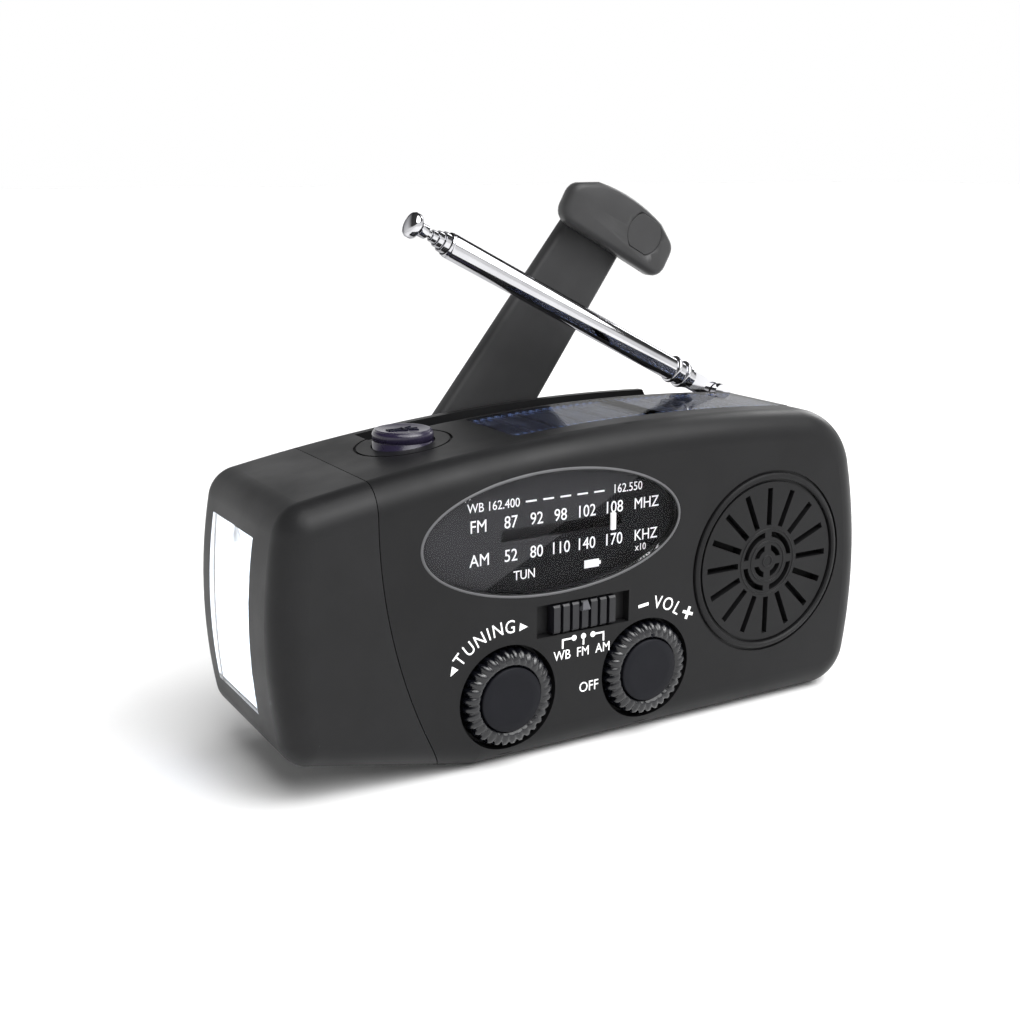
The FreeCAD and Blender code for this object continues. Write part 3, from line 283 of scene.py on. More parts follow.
def solar_look():
    """Dark silicon cells side by side, with fine fingers that turn blue along both long edges."""
    look = Look("solar_silicon", (0.012, 0.016, 0.06), 0.22)
    low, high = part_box("solar_cell")
    split = look.node("ShaderNodeSeparateXYZ")
    look.link(look.places, split.inputs["Vector"])

    def step(operation, first, second=None):
        """One step of arithmetic on a socket, with a number or another socket."""
        made = look.node("ShaderNodeMath", operation=operation)
        look.link(first, made.inputs[0])
        if isinstance(second, bpy.types.NodeSocket):
            look.link(second, made.inputs[1])
        elif second is not None:
            made.inputs[1].default_value = second
        return made.outputs[0]

    def stripes(pitch, width):
        """Lines across the panel, evenly spaced from its left end."""
        turns = step("DIVIDE", step("SUBTRACT", split.outputs["X"], low[0]), pitch)
        return step("LESS_THAN", step("FRACT", turns), width / pitch)

    def painted(under, colour, mask, share=1.0):
        mix = look.node("ShaderNodeMix", data_type="RGBA")
        mix.inputs["B"].default_value = (*colour, 1)
        look.link(under, mix.inputs["A"])
        look.link(step("MULTIPLY", mask, share), mix.inputs["Factor"])
        return mix.outputs["Result"]

    cells, gap = 8, 0.6 * MM
    finger_pitch, finger_width = 1.55 * MM, 0.7 * MM
    front_strip, rear_strip = 2.6 * MM, 1.6 * MM
    fingers = stripes(finger_pitch, finger_width)
    gaps = stripes((high[0] - low[0]) / cells, gap)
    base = look.node("ShaderNodeMix", data_type="RGBA")
    base.inputs["A"].default_value = (0.018, 0.018, 0.022, 1)
    base.inputs["B"].default_value = (0.032, 0.032, 0.042, 1)
    look.link(look.ramp(look.noise(3 * MM, 6.0), 0, 1), base.inputs["Factor"])
    front_edge = step("LESS_THAN", split.outputs["Y"], low[1] + front_strip)
    rear_edge = step("GREATER_THAN", split.outputs["Y"], high[1] - rear_strip)
    edges = step("MAXIMUM", front_edge, rear_edge)
    colour = painted(base.outputs["Result"], (0.10, 0.14, 0.30), fingers, 0.12)
    colour = painted(colour, (0.16, 0.22, 0.42), step("MULTIPLY", fingers, edges))
    colour = painted(colour, (0.004, 0.004, 0.006), gaps)
    look.link(colour, look.shader.inputs["Base Color"])
    look.set("Specular IOR Level", 0.15)
    look.smudge(4 * MM, 0.05)
    look.grain(0.8 * MM, 0.004 * MM, 0.3)
    return look


def dial_face_painted_reflection_look():
    """Black dial paper with a painted reflection: a lighter part on the left of a leaning line."""
    # light is the painted reflection's colour: the paper left of the leaning line is painted lighter, as a
    # reflection on the glossy dial
    dark, light = (0.005, 0.005, 0.006), (0.040, 0.040, 0.042)
    lean, reflection_line_x, blur = 1.92, 4.3 * MM, 0.2 * MM
    centre = middle("dial_plate")
    look = Look("dial_face", dark, 0.5)
    split = look.node("ShaderNodeSeparateXYZ")
    look.link(look.places, split.inputs["Vector"])
    slope = look.node("ShaderNodeMath", operation="MULTIPLY_ADD")
    look.link(split.outputs["Z"], slope.inputs[0])
    slope.inputs[1].default_value = -lean
    look.link(split.outputs["X"], slope.inputs[2])
    edge = centre.x + reflection_line_x - lean * centre.z
    mix = look.node("ShaderNodeMix", data_type="RGBA")
    mix.inputs["A"].default_value = (*light, 1)
    mix.inputs["B"].default_value = (*dark, 1)
    look.link(look.ramp(slope.outputs[0], 0, 1, edge - blur, edge + blur), mix.inputs["Factor"])
    look.link(mix.outputs["Result"], look.shader.inputs["Base Color"])
    look.set("Specular IOR Level", 0.1)
    look.smudge(3 * MM, 0.05)
    look.grain(0.5 * MM, 0.001 * MM, 0.15)
    return look


def make_materials():
    looks = {
        "case_plastic": moulded("case_plastic", (0.0098, 0.0098, 0.0104), 0.42),
        "lamp_cap_plastic": moulded("lamp_cap_plastic", (0.0135, 0.0135, 0.0142), 0.40),
        "arm_plastic": moulded("arm_plastic", (0.036, 0.036, 0.037), 0.40),
        "grip_plastic": moulded("grip_plastic", (0.048, 0.048, 0.049), 0.34),
        "knob_plastic": gloss("knob_plastic", (0.003, 0.0033, 0.005), 0.22, 0.25),
        "knob_disc": moulded("knob_disc", (0.0045, 0.0048, 0.0075), 0.55, 0.2 * MM),
        "slider_plastic": gloss("slider_plastic", (0.004, 0.0042, 0.0065), 0.45, 0.0),
        "button_plastic": gloss("button_plastic", (0.016, 0.012, 0.032), 0.3, 0.15),
        "soft_rubber": moulded("soft_rubber", (0.016, 0.016, 0.017), 0.7, 0.25 * MM),
        "component_plastic": moulded("component_plastic", (0.62, 0.60, 0.52), 0.5),
        "gear_nylon": moulded("gear_nylon", (0.70, 0.68, 0.60), 0.45),
        "speaker_paper": moulded("speaker_paper", (0.012, 0.012, 0.012), 0.9, 0.5 * MM, 0.06 * MM),
        "circuit_board": gloss("circuit_board", (0.010, 0.085, 0.030), 0.35, 0.3),
        "cell_wrap": gloss("cell_wrap", (0.03, 0.12, 0.35), 0.3),
        "led_epoxy": clear("led_epoxy", (0.95, 0.97, 1.0), 0.05, 1.53),
        "lens_clear": clear("lens_clear", (0.93, 0.96, 1.0), 0.03),
        "dial_window": clear("dial_window", (0.92, 0.92, 0.94), 0.0, 1.13, 0.0005),
        "panel_cover": clear("panel_cover", (0.90, 0.93, 1.0), 0.03, 1.06),
        "solar_silicon": solar_look(),
        # The dial face carries a painted reflection on its left part.
        "dial_face": dial_face_painted_reflection_look(),
        # The pointer and the print shine with painted light of their own.
        "pointer_white": printed("pointer_white", (0.9, 0.9, 0.88), 0.5),
        "print_white": printed("print_white", (0.90, 0.90, 0.90), 0.25),
        "reflector_chrome": metal("reflector_chrome", (0.92, 0.93, 0.95), 0.12),
        "chrome_tube": metal("chrome_tube", (0.62, 0.62, 0.64), 0.08),
        "switch_metal": metal("switch_metal", (0.60, 0.60, 0.60), 0.35),
        "spring_steel": metal("spring_steel", (0.58, 0.57, 0.54), 0.3),
        "screw_steel": metal("screw_steel", (0.10, 0.10, 0.11), 0.4),
        "magnet_ferrite": moulded("magnet_ferrite", (0.05, 0.05, 0.052), 0.65),
        "copper_wire": metal("copper_wire", (0.62, 0.26, 0.11), 0.3, (1, 0.05, 0.05), 0.3 * MM),
        "bush_brass": metal("bush_brass", (0.75, 0.52, 0.20), 0.25),
        "groove_black": moulded("groove_black", (0.004, 0.004, 0.004), 0.8),
        "button_mark": moulded("button_mark", (0.006, 0.006, 0.016), 0.5),
        "slider_mark": moulded("slider_mark", (0.10, 0.10, 0.11), 0.4),
        "rim_satin": moulded("rim_satin", (0.11, 0.11, 0.115), 0.3),
    }
    leds = looks["led_epoxy"]
    leds.set("Emission Color", (0.92, 0.96, 1.0, 1))
    leds.set("Emission Strength", 24.0)
    # Painted reflection: a near-black specular tint darkens the chrome's edges, standing in for dark
    # surroundings that it would reflect.
    looks["chrome_tube"].set("Specular Tint", (0.05, 0.05, 0.06, 1))
    # Painted light: the lamp's mirror bowl glows by itself, standing in for the LEDs' light that it throws
    # back.
    reflector_painted_glow = looks["reflector_chrome"]
    reflector_painted_glow.set("Emission Color", (0.93, 0.96, 1.0, 1))
    reflector_painted_glow.set("Emission Strength", 0.5)
    return {name: look.material for name, look in looks.items()}


MATERIALS = make_materials()


def dress_nodes():
    """Gives every CAD node that stays the material of its slot."""
    for part in frame["record"]["subparts"]:
        piece = NODES[part["node"]]
        piece.data.materials.clear()
        piece.data.materials.append(MATERIALS[part["material_slot"]])


# ---------------------------------------------------------------- mesh building

def add_piece(name, mesh, body, material, stands_for=(), smooth=True):
    """Puts a mesh on a body, dressed, in place of the CAD nodes that it stands for."""
    piece = bpy.data.objects.new(name, mesh)
    bpy.context.collection.objects.link(piece)
    mesh.materials.append(MATERIALS[material])
    if smooth:
        mesh.polygons.foreach_set("use_smooth", [True] * len(mesh.polygons))
    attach(piece, body)
    if stands_for:
        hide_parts(*stands_for)
    return piece


def lathe(name, profile, place, turn_steps, shape=None, axis="Y"):
    """A closed form turned about an axis through place. The profile's points are (radius, along the axis);
    shape(point index, angle) may move a point by (radius change, along change)."""
    points, faces = [], []
    rings = [index for index, (radius, _) in enumerate(profile) if radius > 0]
    start = {}
    for index, (radius, along) in enumerate(profile):
        start[index] = len(points)
        count = turn_steps if index in rings else 1
        for step in range(count):
            angle = 2 * math.pi * step / turn_steps
            out, shift = shape(index, angle) if shape and index in rings else (0, 0)
            u, v = (radius + out) * math.sin(angle), (radius + out) * math.cos(angle)
            if axis == "Y":
                offset = Vector((u, along + shift, v))
            else:
                offset = Vector((u, v, along + shift))
            points.append(place + offset)
    for index in range(len(profile) - 1):
        first, second = start[index], start[index + 1]
        for step in range(turn_steps):
            ahead = (step + 1) % turn_steps
            if index in rings and index + 1 in rings:
                faces.append((first + step, first + ahead, second + ahead, second + step))
            elif index in rings:
                faces.append((first + step, first + ahead, second))
            else:
                faces.append((first, second + ahead, second + step))
    mesh = bpy.data.meshes.new(name)
    mesh.from_pydata(points, [], faces)
    tidy_normals(mesh)
    return mesh


def tidy_normals(mesh):
    """Turns every face outward."""
    shaped = bmesh.new()
    shaped.from_mesh(mesh)
    bmesh.ops.recalc_face_normals(shaped, faces=shaped.faces)
    shaped.to_mesh(mesh)
    shaped.free()


def soften(piece, width, segments=3, angle=30):
    """Rounds every edge that bends by more than the angle."""
    bevel = piece.modifiers.new("edges", "BEVEL")
    bevel.width = width
    bevel.segments = segments
    bevel.limit_method = "ANGLE"
    bevel.angle_limit = math.radians(angle)
    bevel.harden_normals = False
    return piece


def sharpen(mesh, degrees=35):
    """Keeps flat faces flat beside rounded ones."""
    mesh.set_sharp_from_angle(angle=math.radians(degrees))


def from_rings(name, rings, closed=False):
    """Skins a stack of rings that have equally many points. The ends are capped, unless the stack closes."""
    shaped = bmesh.new()
    rows = [[shaped.verts.new(point) for point in ring] for ring in rings]
    pairs = list(zip(rows, rows[1:]))
    if closed:
        pairs.append((rows[-1], rows[0]))
    else:
        shaped.faces.new(rows[0])
        shaped.faces.new(list(reversed(rows[-1])))
    for near, far in pairs:
        for index in range(len(near)):
            ahead = (index + 1) % len(near)
            shaped.faces.new((near[index], far[index], far[ahead], near[ahead]))
    bmesh.ops.recalc_face_normals(shaped, faces=shaped.faces)
    mesh = bpy.data.meshes.new(name)
    shaped.to_mesh(mesh)
    shaped.free()
    return mesh


def prism(name, outline, y_low, y_high):
    """A plate whose outline lies in X and Z."""
    return from_rings(name, [[(x, y, z) for x, z in outline] for y in (y_low, y_high)])


def baked(holder):
    """The holder's mesh with its modifiers, or its letters, worked out."""
    return bpy.data.meshes.new_from_object(holder.evaluated_get(bpy.context.evaluated_depsgraph_get()))


def drilled(mesh, *tools):
    """The mesh with closed tool meshes taken out of it."""
    body = bpy.data.objects.new("blank", mesh)
    bpy.context.collection.objects.link(body)
    cutters = []
    for tool in tools:
        cutter = bpy.data.objects.new("cutter", tool)
        bpy.context.collection.objects.link(cutter)
        cutters.append(cutter)
        carve = body.modifiers.new("carve", "BOOLEAN")
        carve.operation = "DIFFERENCE"
        carve.solver = "EXACT"
        carve.object = cutter
    result = baked(body)
    for used in (body, *cutters):
        bpy.data.objects.remove(used)
    return result


def drum(radius, y_low, y_high, place, steps=48):
    """A round plate; place is its centre's X and Z."""
    profile = [(0, y_low), (radius, y_low), (radius, y_high), (0, y_high)]
    return lathe("drum", profile, Vector((place[0], 0, place[1])), steps)


def box_mesh(low, high):
    return prism("box", [(low[0], low[2]), (high[0], low[2]), (high[0], high[2]), (low[0], high[2])],
                 low[1], high[1])


def tilted(mesh, degrees_from_upright, place):
    """Carries a form drawn upright at the origin to its place, leaning towards +X."""
    mesh.transform(Matrix.Translation(place) @ Matrix.Rotation(math.radians(degrees_from_upright), 4, "Y"))
    return mesh


def arc_points(centre, radius, start, end, steps):
    """Points on an arc; angles in degrees, anticlockwise from +X in the X, Z plane."""
    angles = [math.radians(start + (end - start) * step / steps) for step in range(steps + 1)]
    return [(centre[0] + radius * math.cos(a), centre[1] + radius * math.sin(a)) for a in angles]


def merged(name, meshes):
    """One mesh that holds all of them as loose parts."""
    whole = bmesh.new()
    for mesh in meshes:
        whole.from_mesh(mesh)
    result = bpy.data.meshes.new(name)
    whole.to_mesh(result)
    whole.free()
    return result


# ---------------------------------------------------------------- knobs

def knob(node, body, mark=False):
    """A fluted rim that rolls over its edge, round a flat matt disc."""
    flutes, steps_per_flute, stem_radius = 32, 10, 2.9 * MM
    low, high = box_corners(node)
    place = Vector(((low.x + high.x) / 2, 0, (low.z + high.z) / 2))
    rim = (high.x - low.x) / 2
    face, foot = low.y, low.y + 4.4 * MM
    disc = rim * 0.655
    recess = face + 0.75 * MM
    profile = [(0, recess), (disc + 0.25 * MM, recess), (disc + 0.5 * MM, face + 0.15 * MM),
               (rim * 0.78, face + 0.10 * MM), (rim * 0.86, face + 0.25 * MM), (rim * 0.93, face + 0.65 * MM),
               (rim * 0.975, face + 1.3 * MM), (rim, face + 2.1 * MM), (rim, foot), (0, foot)]
    # one depth in mm for each point of the profile
    flute_depths = (0, 0, 0.08, 0.26, 0.45, 0.6, 0.66, 0.68, 0.68, 0.68)
    turns_outward_over, twist, pinch = 5, 0.5, 2.2

    def flute(index, angle):
        """Sinks the rim's points: backward near the disc, and inward towards the foot."""
        along = index - 1
        groove = (1 - math.cos(flutes * angle + twist * along)) / 2
        sunk = flute_depths[index] * MM * groove ** pinch
        share = min(along / turns_outward_over, 1.0)
        return -sunk * share, sunk * (1 - share)

    ring = lathe(node + "_ribs", profile, place, flutes * steps_per_flute, flute)
    add_piece(node + "_rim", ring, body, "knob_plastic", (node,))
    dome = [(0, face - 0.02 * MM), (disc * 0.7, face - 0.02 * MM), (disc - 0.25 * MM, face),
            (disc, face + 0.2 * MM), (disc, face + 0.8 * MM), (0, face + 0.8 * MM)]
    add_piece(node + "_disc", lathe(node + "_disc", dome, place, 96), body, "knob_disc")
    stem = [(0, foot - 0.2 * MM), (stem_radius, foot - 0.2 * MM), (stem_radius, high.y), (0, high.y)]
    add_piece(node + "_stem", lathe(node + "_stem", stem, place, 48), body, "knob_plastic")
    if mark:
        spot = place + Vector((0.8 * MM, face + 0.05 * MM, rim * 0.74))
        pip = [(0, 0), (0.28 * MM, 0), (0.34 * MM, 0.08 * MM), (0.34 * MM, 0.3 * MM), (0, 0.3 * MM)]
        add_piece(node + "_mark", lathe(node + "_mark", pip, spot, 24), body, "knob_disc")


# ---------------------------------------------------------------- lettering

PRINT = 0.05 * MM          # how far print stands on its surface


def word(text, x, z, size, y, turn=0.0, squeeze=0.88):
    """A printed word, centred on x and z and facing -Y; turn is clockwise in degrees."""
    curve = bpy.data.curves.new("word", "FONT")
    curve.body = text
    curve.size = size
    curve.align_x, curve.align_y = "CENTER", "CENTER"
    curve.extrude = PRINT / 2
    curve.resolution_u = 3
    holder = bpy.data.objects.new("word", curve)
    bpy.context.collection.objects.link(holder)
    mesh = baked(holder)
    bpy.data.objects.remove(holder)
    upright = Matrix.Rotation(math.radians(90), 4, "X") @ Matrix.Diagonal((squeeze, 1, 1, 1))
    mesh.transform(Matrix.Translation((x, y, z)) @ Matrix.Rotation(math.radians(turn), 4, "Y") @ upright)
    return mesh


def on_arc(centre, radius, turn):
    """The X and Z of a point on a circle, clockwise from the top in degrees."""
    angle = math.radians(turn)
    return centre[0] + radius * math.sin(angle), centre[1] + radius * math.cos(angle)


def arc_words(text, centre, radius, start, step, size, y):
    """Letters set along an arc, closer beside an I; angles are clockwise from the top."""
    beside_i = 0.75
    letters = []
    turn = start
    for index, letter in enumerate(text):
        if index:
            turn += step * (beside_i if "I" in text[index - 1:index + 1] else 1.0)
        letters.append(word(letter, *on_arc(centre, radius, turn), size, y, turn))
    return letters


def printed_shape(name, outline, y):
    return prism(name, outline, y - PRINT / 2, y + PRINT / 2)


def stroke(start, end, width, y):
    """A straight printed line."""
    along = Vector((end[0] - start[0], end[1] - start[1])).normalized() * width / 2
    side = Vector((-along.y, along.x))
    a, b = Vector(start) - along, Vector(end) + along
    return printed_shape("stroke", [a + side, b + side, b - side, a - side], y)


def dot(x, z, radius, y):
    return drum(radius, y - PRINT / 2, y + PRINT / 2, (x, z), 20)


def arrow_head(x, z, turn, size, y):
    """A printed triangle pointing along turn, clockwise from the top."""
    triangle = ((0, size), (-0.62 * size, -0.4 * size), (0.62 * size, -0.4 * size))
    corners = [Matrix.Rotation(math.radians(-turn), 2) @ Vector(point) for point in triangle]
    return printed_shape("arrow", [(x + corner.x, z + corner.y) for corner in corners], y)


def dial_print():
    """The scale: places and heights are in mm from the middle of the window."""
    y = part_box("dial_plate")[0][1] - PRINT / 2
    centre = middle("dial_lens")
    weather, upper, lower, foot = 5.8, 2.4, -3.7, -7.6
    columns = (-8.4, -3.1, 1.9, 7.4, 13.4)
    scales = ((upper, ("87", "92", "98", "102", "108")), (lower, ("52", "80", "110", "140", "170")))
    labels = (("FM", -14.9, upper, 3.2), ("AM", -14.7, lower, 3.2), ("MHZ", 20.7, upper, 3.0),
              ("KHZ", 20.7, lower, 3.0), ("x10", 19.6, lower - 2.3, 1.9), ("TUN", -5.6, foot, 2.5))
    dashes, dash_start, dash_pitch, dash_length, dash_width = 5, -5.2, 3.6, 1.9, 0.32

    def place(x, z):
        return centre.x + x * MM, centre.z + z * MM

    pieces = [word("WB 162.400", *place(-11.8, weather), 2.35 * MM, y),
              word("162.550", *place(16.4, weather), 2.35 * MM, y)]
    for index in range(dashes):
        start = dash_start + dash_pitch * index
        pieces.append(stroke(place(start, weather), place(start + dash_length, weather), dash_width * MM, y))
    for level, texts in scales:
        for text, x in zip(texts, columns):
            pieces.append(word(text, *place(x, level), 3.2 * MM, y))
    for text, x, z, size in labels:
        pieces.append(word(text, *place(x, z), size * MM, y))
    icon, left, right, half = 8.8, -1.7, 1.5, 0.75
    nub, half_nub = 1.9, 0.35
    outline = ((left, -half), (right, -half), (right, -half_nub), (nub, -half_nub),
               (nub, half_nub), (right, half_nub), (right, half), (left, half))
    pieces.append(printed_shape("cell_sign", [place(icon + x, foot + z) for x, z in outline], y))
    add_piece("dial_print", merged("dial_print", pieces), "radio", "print_white",
              smooth=False)


def tuning_print(y):
    """TUNING round the top left of its knob, with an arrow at each end."""
    knob_at = middle("tuning_knob")
    centre, radius = (knob_at.x, knob_at.z), 13.2 * MM
    pieces = arc_words("TUNING", centre, radius, -47.5, 10.9, 3.5 * MM, y)
    for turn, heading in ((-56.5, -146.5), (12.2, 97.0)):
        pieces.append(arrow_head(*on_arc(centre, radius, turn), heading, 1.2 * MM, y))
    return pieces


def volume_print(y):
    """VOL round the top right of its knob, between a minus and a plus, and OFF on its left."""
    knob_at = middle("volume_knob")
    bold = 0.6 * MM
    pieces = arc_words("VOL", (knob_at.x, knob_at.z), 12.8 * MM, 11.5, 11.0, 3.6 * MM, y)
    minus = ((knob_at.x - 1.6 * MM, knob_at.z + 12.5 * MM), (knob_at.x + 0.1 * MM, knob_at.z + 12.7 * MM))
    pieces.append(stroke(*minus, bold, y))
    plus = Vector((knob_at.x + 9.7 * MM, knob_at.z + 9.4 * MM))
    for across in (Vector((0.9, -0.35)) * MM, Vector((0.35, 0.9)) * MM):
        pieces.append(stroke(plus - across, plus + across, bold, y))
    pieces.append(word("OFF", knob_at.x - 12.8 * MM, knob_at.z - 1.2 * MM, 2.8 * MM, y))
    return pieces


def band_print(y):
    """A dot for each place of the slider, led down to its name."""
    band = middle("band_slider")
    fine, dot_radius = 0.34 * MM, 0.55 * MM
    level = band.z - 4.2 * MM
    foot, name_level = level - 1.5 * MM, level - 3.0 * MM
    pieces = []
    for text, name_x, dot_x in (("WB", -4.5, -2.05), ("FM", 0.0, 0.0), ("AM", 4.4, 2.05)):
        x, knee = band.x + dot_x * MM, band.x + name_x * MM
        pieces.append(dot(x, level, dot_radius, y))
        if name_x:
            pieces.append(stroke((x, level), (knee, level), fine, y))
        pieces.append(stroke((knee, level), (knee, foot), fine, y))
        pieces.append(word(text, knee - 0.1 * MM, name_level, 2.6 * MM, y))
    return pieces


def front_print():
    y = FRONT - PRINT / 2
    pieces = tuning_print(y) + volume_print(y) + band_print(y)
    add_piece("front_print", merged("front_print", pieces), "radio", "print_white",
              smooth=False)


# ---------------------------------------------------------------- front details

def oval_ring(name, centre, half_width, half_height, profile, steps=160):
    """A ring that follows an ellipse; the profile's points are (outward, y) and close up."""
    rings = []
    for out, y in profile:
        ring = []
        for step in range(steps):
            angle = 2 * math.pi * step / steps
            ring.append((centre.x + (half_width + out) * math.cos(angle), y,
                         centre.z + (half_height + out) * math.sin(angle)))
        rings.append(ring)
    return from_rings(name, rings, closed=True)


def pointer():
    """A white bar in front of the dial, on a dark carriage, with a screen behind that keeps light out."""
    low, high = box_corners("dial_pointer")
    level = (low.z + high.z) / 2
    bar_x, half_bar, half_height, half_stem = low.x + 2.2 * MM, 0.5 * MM, 1.6 * MM, 0.8 * MM
    bar = box_mesh((bar_x - half_bar, low.y, level - half_height),
                   (bar_x + half_bar, low.y + 0.55 * MM, level + half_height))
    piece = add_piece("pointer_bar", bar, "pointer", "pointer_white", ("dial_pointer",), smooth=False)
    soften(piece, 0.1 * MM)
    stem = box_mesh((bar_x - half_bar, low.y + 0.5 * MM, level - half_stem),
                    (bar_x + half_bar, high.y - 1.3 * MM, level + half_stem))
    carriage = box_mesh((low.x, high.y - 1.4 * MM, low.z), (high.x, high.y, high.z))
    add_piece("pointer_carriage", merged("pointer_carriage", [stem, carriage]), "pointer", "groove_black",
              smooth=False)
    left, right = box_corners("dial_plate")
    margin, half_screen = 6 * MM, 4.5 * MM
    near, far = high.y + 0.25 * MM, high.y + 0.55 * MM
    screen = box_mesh((left.x + margin, near, level - half_screen),
                      (right.x - margin, far, level + half_screen))
    add_piece("dial_light_screen", screen, "radio", "dial_face", smooth=False)


def band_tray():
    """The floors at both ends of the slider's window."""
    centre = middle("band_slider")
    front, back = FRONT + 1.85 * MM, FRONT + 2.2 * MM
    near, far, half = 5.0 * MM, 10.0 * MM, 3.0 * MM
    floors = [box_mesh((centre.x + x_low, front, centre.z - half), (centre.x + x_high, back, centre.z + half))
              for x_low, x_high in ((-far, -near), (near, far))]
    add_piece("band_tray", merged("band_tray", floors), "radio", "case_plastic", smooth=False)


def speaker_bezel():
    """A low bevelled ring between the two round grooves, and three fine rings in the middle."""
    cone = middle("speaker_cone")
    place = Vector((cone.x, 0, cone.z))
    ring = [(16.65, 0.15), (16.65, -0.18), (16.95, -0.42), (17.35, -0.42), (17.75, -0.15), (17.75, 0.15)]
    profile = [(radius * MM, FRONT + y * MM) for radius, y in ring]
    bezel = lathe("speaker_bezel", profile + [profile[0]], place, 128)
    sharpen(add_piece("speaker_bezel", bezel, "radio", "case_plastic").data)
    wire, sunk = 0.2 * MM, 0.05 * MM
    turns = [math.radians(45 * step) for step in range(9)]
    for index, radius in enumerate((1.1, 4.1, 6.6)):
        loop = [(radius * MM + wire * math.cos(turn), FRONT + sunk - wire * math.sin(turn)) for turn in turns]
        add_piece("speaker_ring_%d" % index, lathe("speaker_ring", loop, place, 64), "radio", "case_plastic")


def dial_rim():
    """The thin satin lip round the dial window."""
    low, high = box_corners("dial_lens")
    lip = [(0.25 * MM, FRONT + 0.3 * MM), (0.25 * MM, FRONT - 0.06 * MM), (0.4 * MM, FRONT - 0.16 * MM),
           (0.62 * MM, FRONT - 0.12 * MM), (0.78 * MM, FRONT + 0.02 * MM), (0.78 * MM, FRONT + 0.3 * MM)]
    ring = oval_ring("dial_rim", middle("dial_lens"), (high.x - low.x) / 2, (high.z - low.z) / 2, lip)
    add_piece("dial_rim", ring, "radio", "rim_satin")


def speaker_cloth():
    """The dark cloth that shows between the grille's bars."""
    cone = middle("speaker_cone")
    radius, thick = 15.9 * MM, 0.25 * MM
    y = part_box("speaker_frame")[0][1] + 0.1 * MM
    sheet = [(0, y), (radius, y), (radius, y + thick), (0, y + thick)]
    cloth = lathe("speaker_cloth", sheet, Vector((cone.x, 0, cone.z)), 64)
    add_piece("speaker_cloth", cloth, "radio", "speaker_paper")


def slider_comb(low, high, valley, back):
    """Finger ribs in a row on a block; each rib's crest is a little narrower than its foot."""
    ribs, groove, slant, inset = 7, 0.42 * MM, 0.12 * MM, 0.35 * MM
    pitch = (high.x - low.x + groove) / ribs
    outline = [(low.x, back)]
    for rib in range(ribs):
        start = low.x + rib * pitch
        end = start + pitch - groove
        outline += [(start, valley), (start + slant, low.y), (end - slant, low.y), (end, valley)]
    outline.append((high.x, back))
    levels = ((low.z, inset), (low.z + inset, 0), (high.z - inset, 0), (high.z, inset))
    return from_rings("comb", [[(x, y + sunk, z) for x, y in outline] for z, sunk in levels])


def band_slider():
    """A comb of finger ribs with a sloped pointer in the middle, on the switch's stem."""
    low, high = box_corners("band_slider")
    centre = (low.x + high.x) / 2
    back, valley, crest = low.y + 2.0 * MM, low.y + 0.75 * MM, low.y
    trim = Vector((0, 0, 0.1 * MM))
    comb = slider_comb(low + trim, high - trim, valley, back)
    half, nose, heel = 0.85 * MM, high.z - 0.15 * MM, high.z - 1.9 * MM
    slices = ((half, crest - 0.05 * MM, heel), (half, crest - 0.55 * MM, heel + 0.35 * MM),
              (0.6 * half, crest - 0.1 * MM, nose))
    wedge = from_rings("wedge", [[(centre - wide, y, z), (centre + wide, y, z),
                                  (centre + wide, valley, z), (centre - wide, valley, z)]
                                 for wide, y, z in slices])
    level = (low.z + high.z) / 2
    stem_half_width, stem_half_height = 2 * MM, 1.5 * MM
    stem = box_mesh((centre - stem_half_width, back - 0.1 * MM, level - stem_half_height),
                    (centre + stem_half_width, high.y, level + stem_half_height))
    add_piece("band_slider_comb", merged("band_slider_comb", [comb, stem]), "band", "slider_plastic",
              ("band_slider",), smooth=False)
    add_piece("band_slider_pointer", wedge, "band", "slider_mark", smooth=False)


# ---------------------------------------------------------------- lamp button

def bent_line(points, width, place, z_low, z_high):
    """Bars along an open bent line that lies level; its points are in mm from place."""
    bars = []
    for start, end in zip(points, points[1:]):
        a, b = Vector(start) * MM, Vector(end) * MM
        along = (b - a).normalized() * width / 2
        side = Vector((-along.y, along.x))
        a, b = a - along, b + along
        ring = [a + side, b + side, b - side, a - side]
        bars.append(from_rings("bar", [[(place.x + p.x, place.y + p.y, z) for p in ring]
                                       for z in (z_low, z_high)]))
    return bars


def lamp_button():
    """A disc with a rolled edge, on its skirt, with a small torch sign sunk in its top."""
    low, high = box_corners("lamp_button")
    place = Vector(((low.x + high.x) / 2, (low.y + high.y) / 2, 0))
    rim, skirt, roll, skirt_height = 5.6 * MM, (high.x - low.x) / 2, 0.9 * MM, 0.8 * MM
    top = high.z
    dish = [(0, top - 0.35 * MM), (rim * 0.6, top - 0.2 * MM), (rim * 0.82, top - 0.05 * MM),
            (rim * 0.88, top), (rim * 0.93, top - 0.1 * MM)]
    turns = [math.radians(30 + 10 * step) for step in range(7)]
    edge = [(rim - roll + roll * math.sin(turn), top - 1.0 * MM + roll * math.cos(turn)) for turn in turns]
    ledge = low.z + skirt_height
    side = [(rim, top - 1.9 * MM), (rim - 0.12 * MM, top - 2.0 * MM), (rim - 0.12 * MM, top - 2.15 * MM),
            (rim, top - 2.25 * MM), (rim, ledge), (skirt, ledge), (skirt, low.z), (0, low.z)]
    mesh = lathe("lamp_button_disc", dish + edge + side, place, 96, axis="Z")
    add_piece("lamp_button_disc", mesh, "button", "button_plastic", ("lamp_button",))
    torch = [(-2.9, -0.6), (-0.4, -0.6), (0.3, -1.2), (0.3, 1.2), (-0.4, 0.6), (-2.9, 0.6), (-2.9, -0.6)]
    rays = [[(1.0, 0.9), (2.3, 1.7)], [(1.1, 0), (2.8, 0)], [(1.0, -0.9), (2.3, -1.7)]]
    bars = []
    for line in [torch] + rays:
        bars += bent_line(line, 0.26 * MM, place, top - 0.3 * MM, top - 0.06 * MM)
    add_piece("lamp_button_sign", merged("lamp_button_sign", bars), "button", "button_mark",
              smooth=False)


# ---------------------------------------------------------------- crank

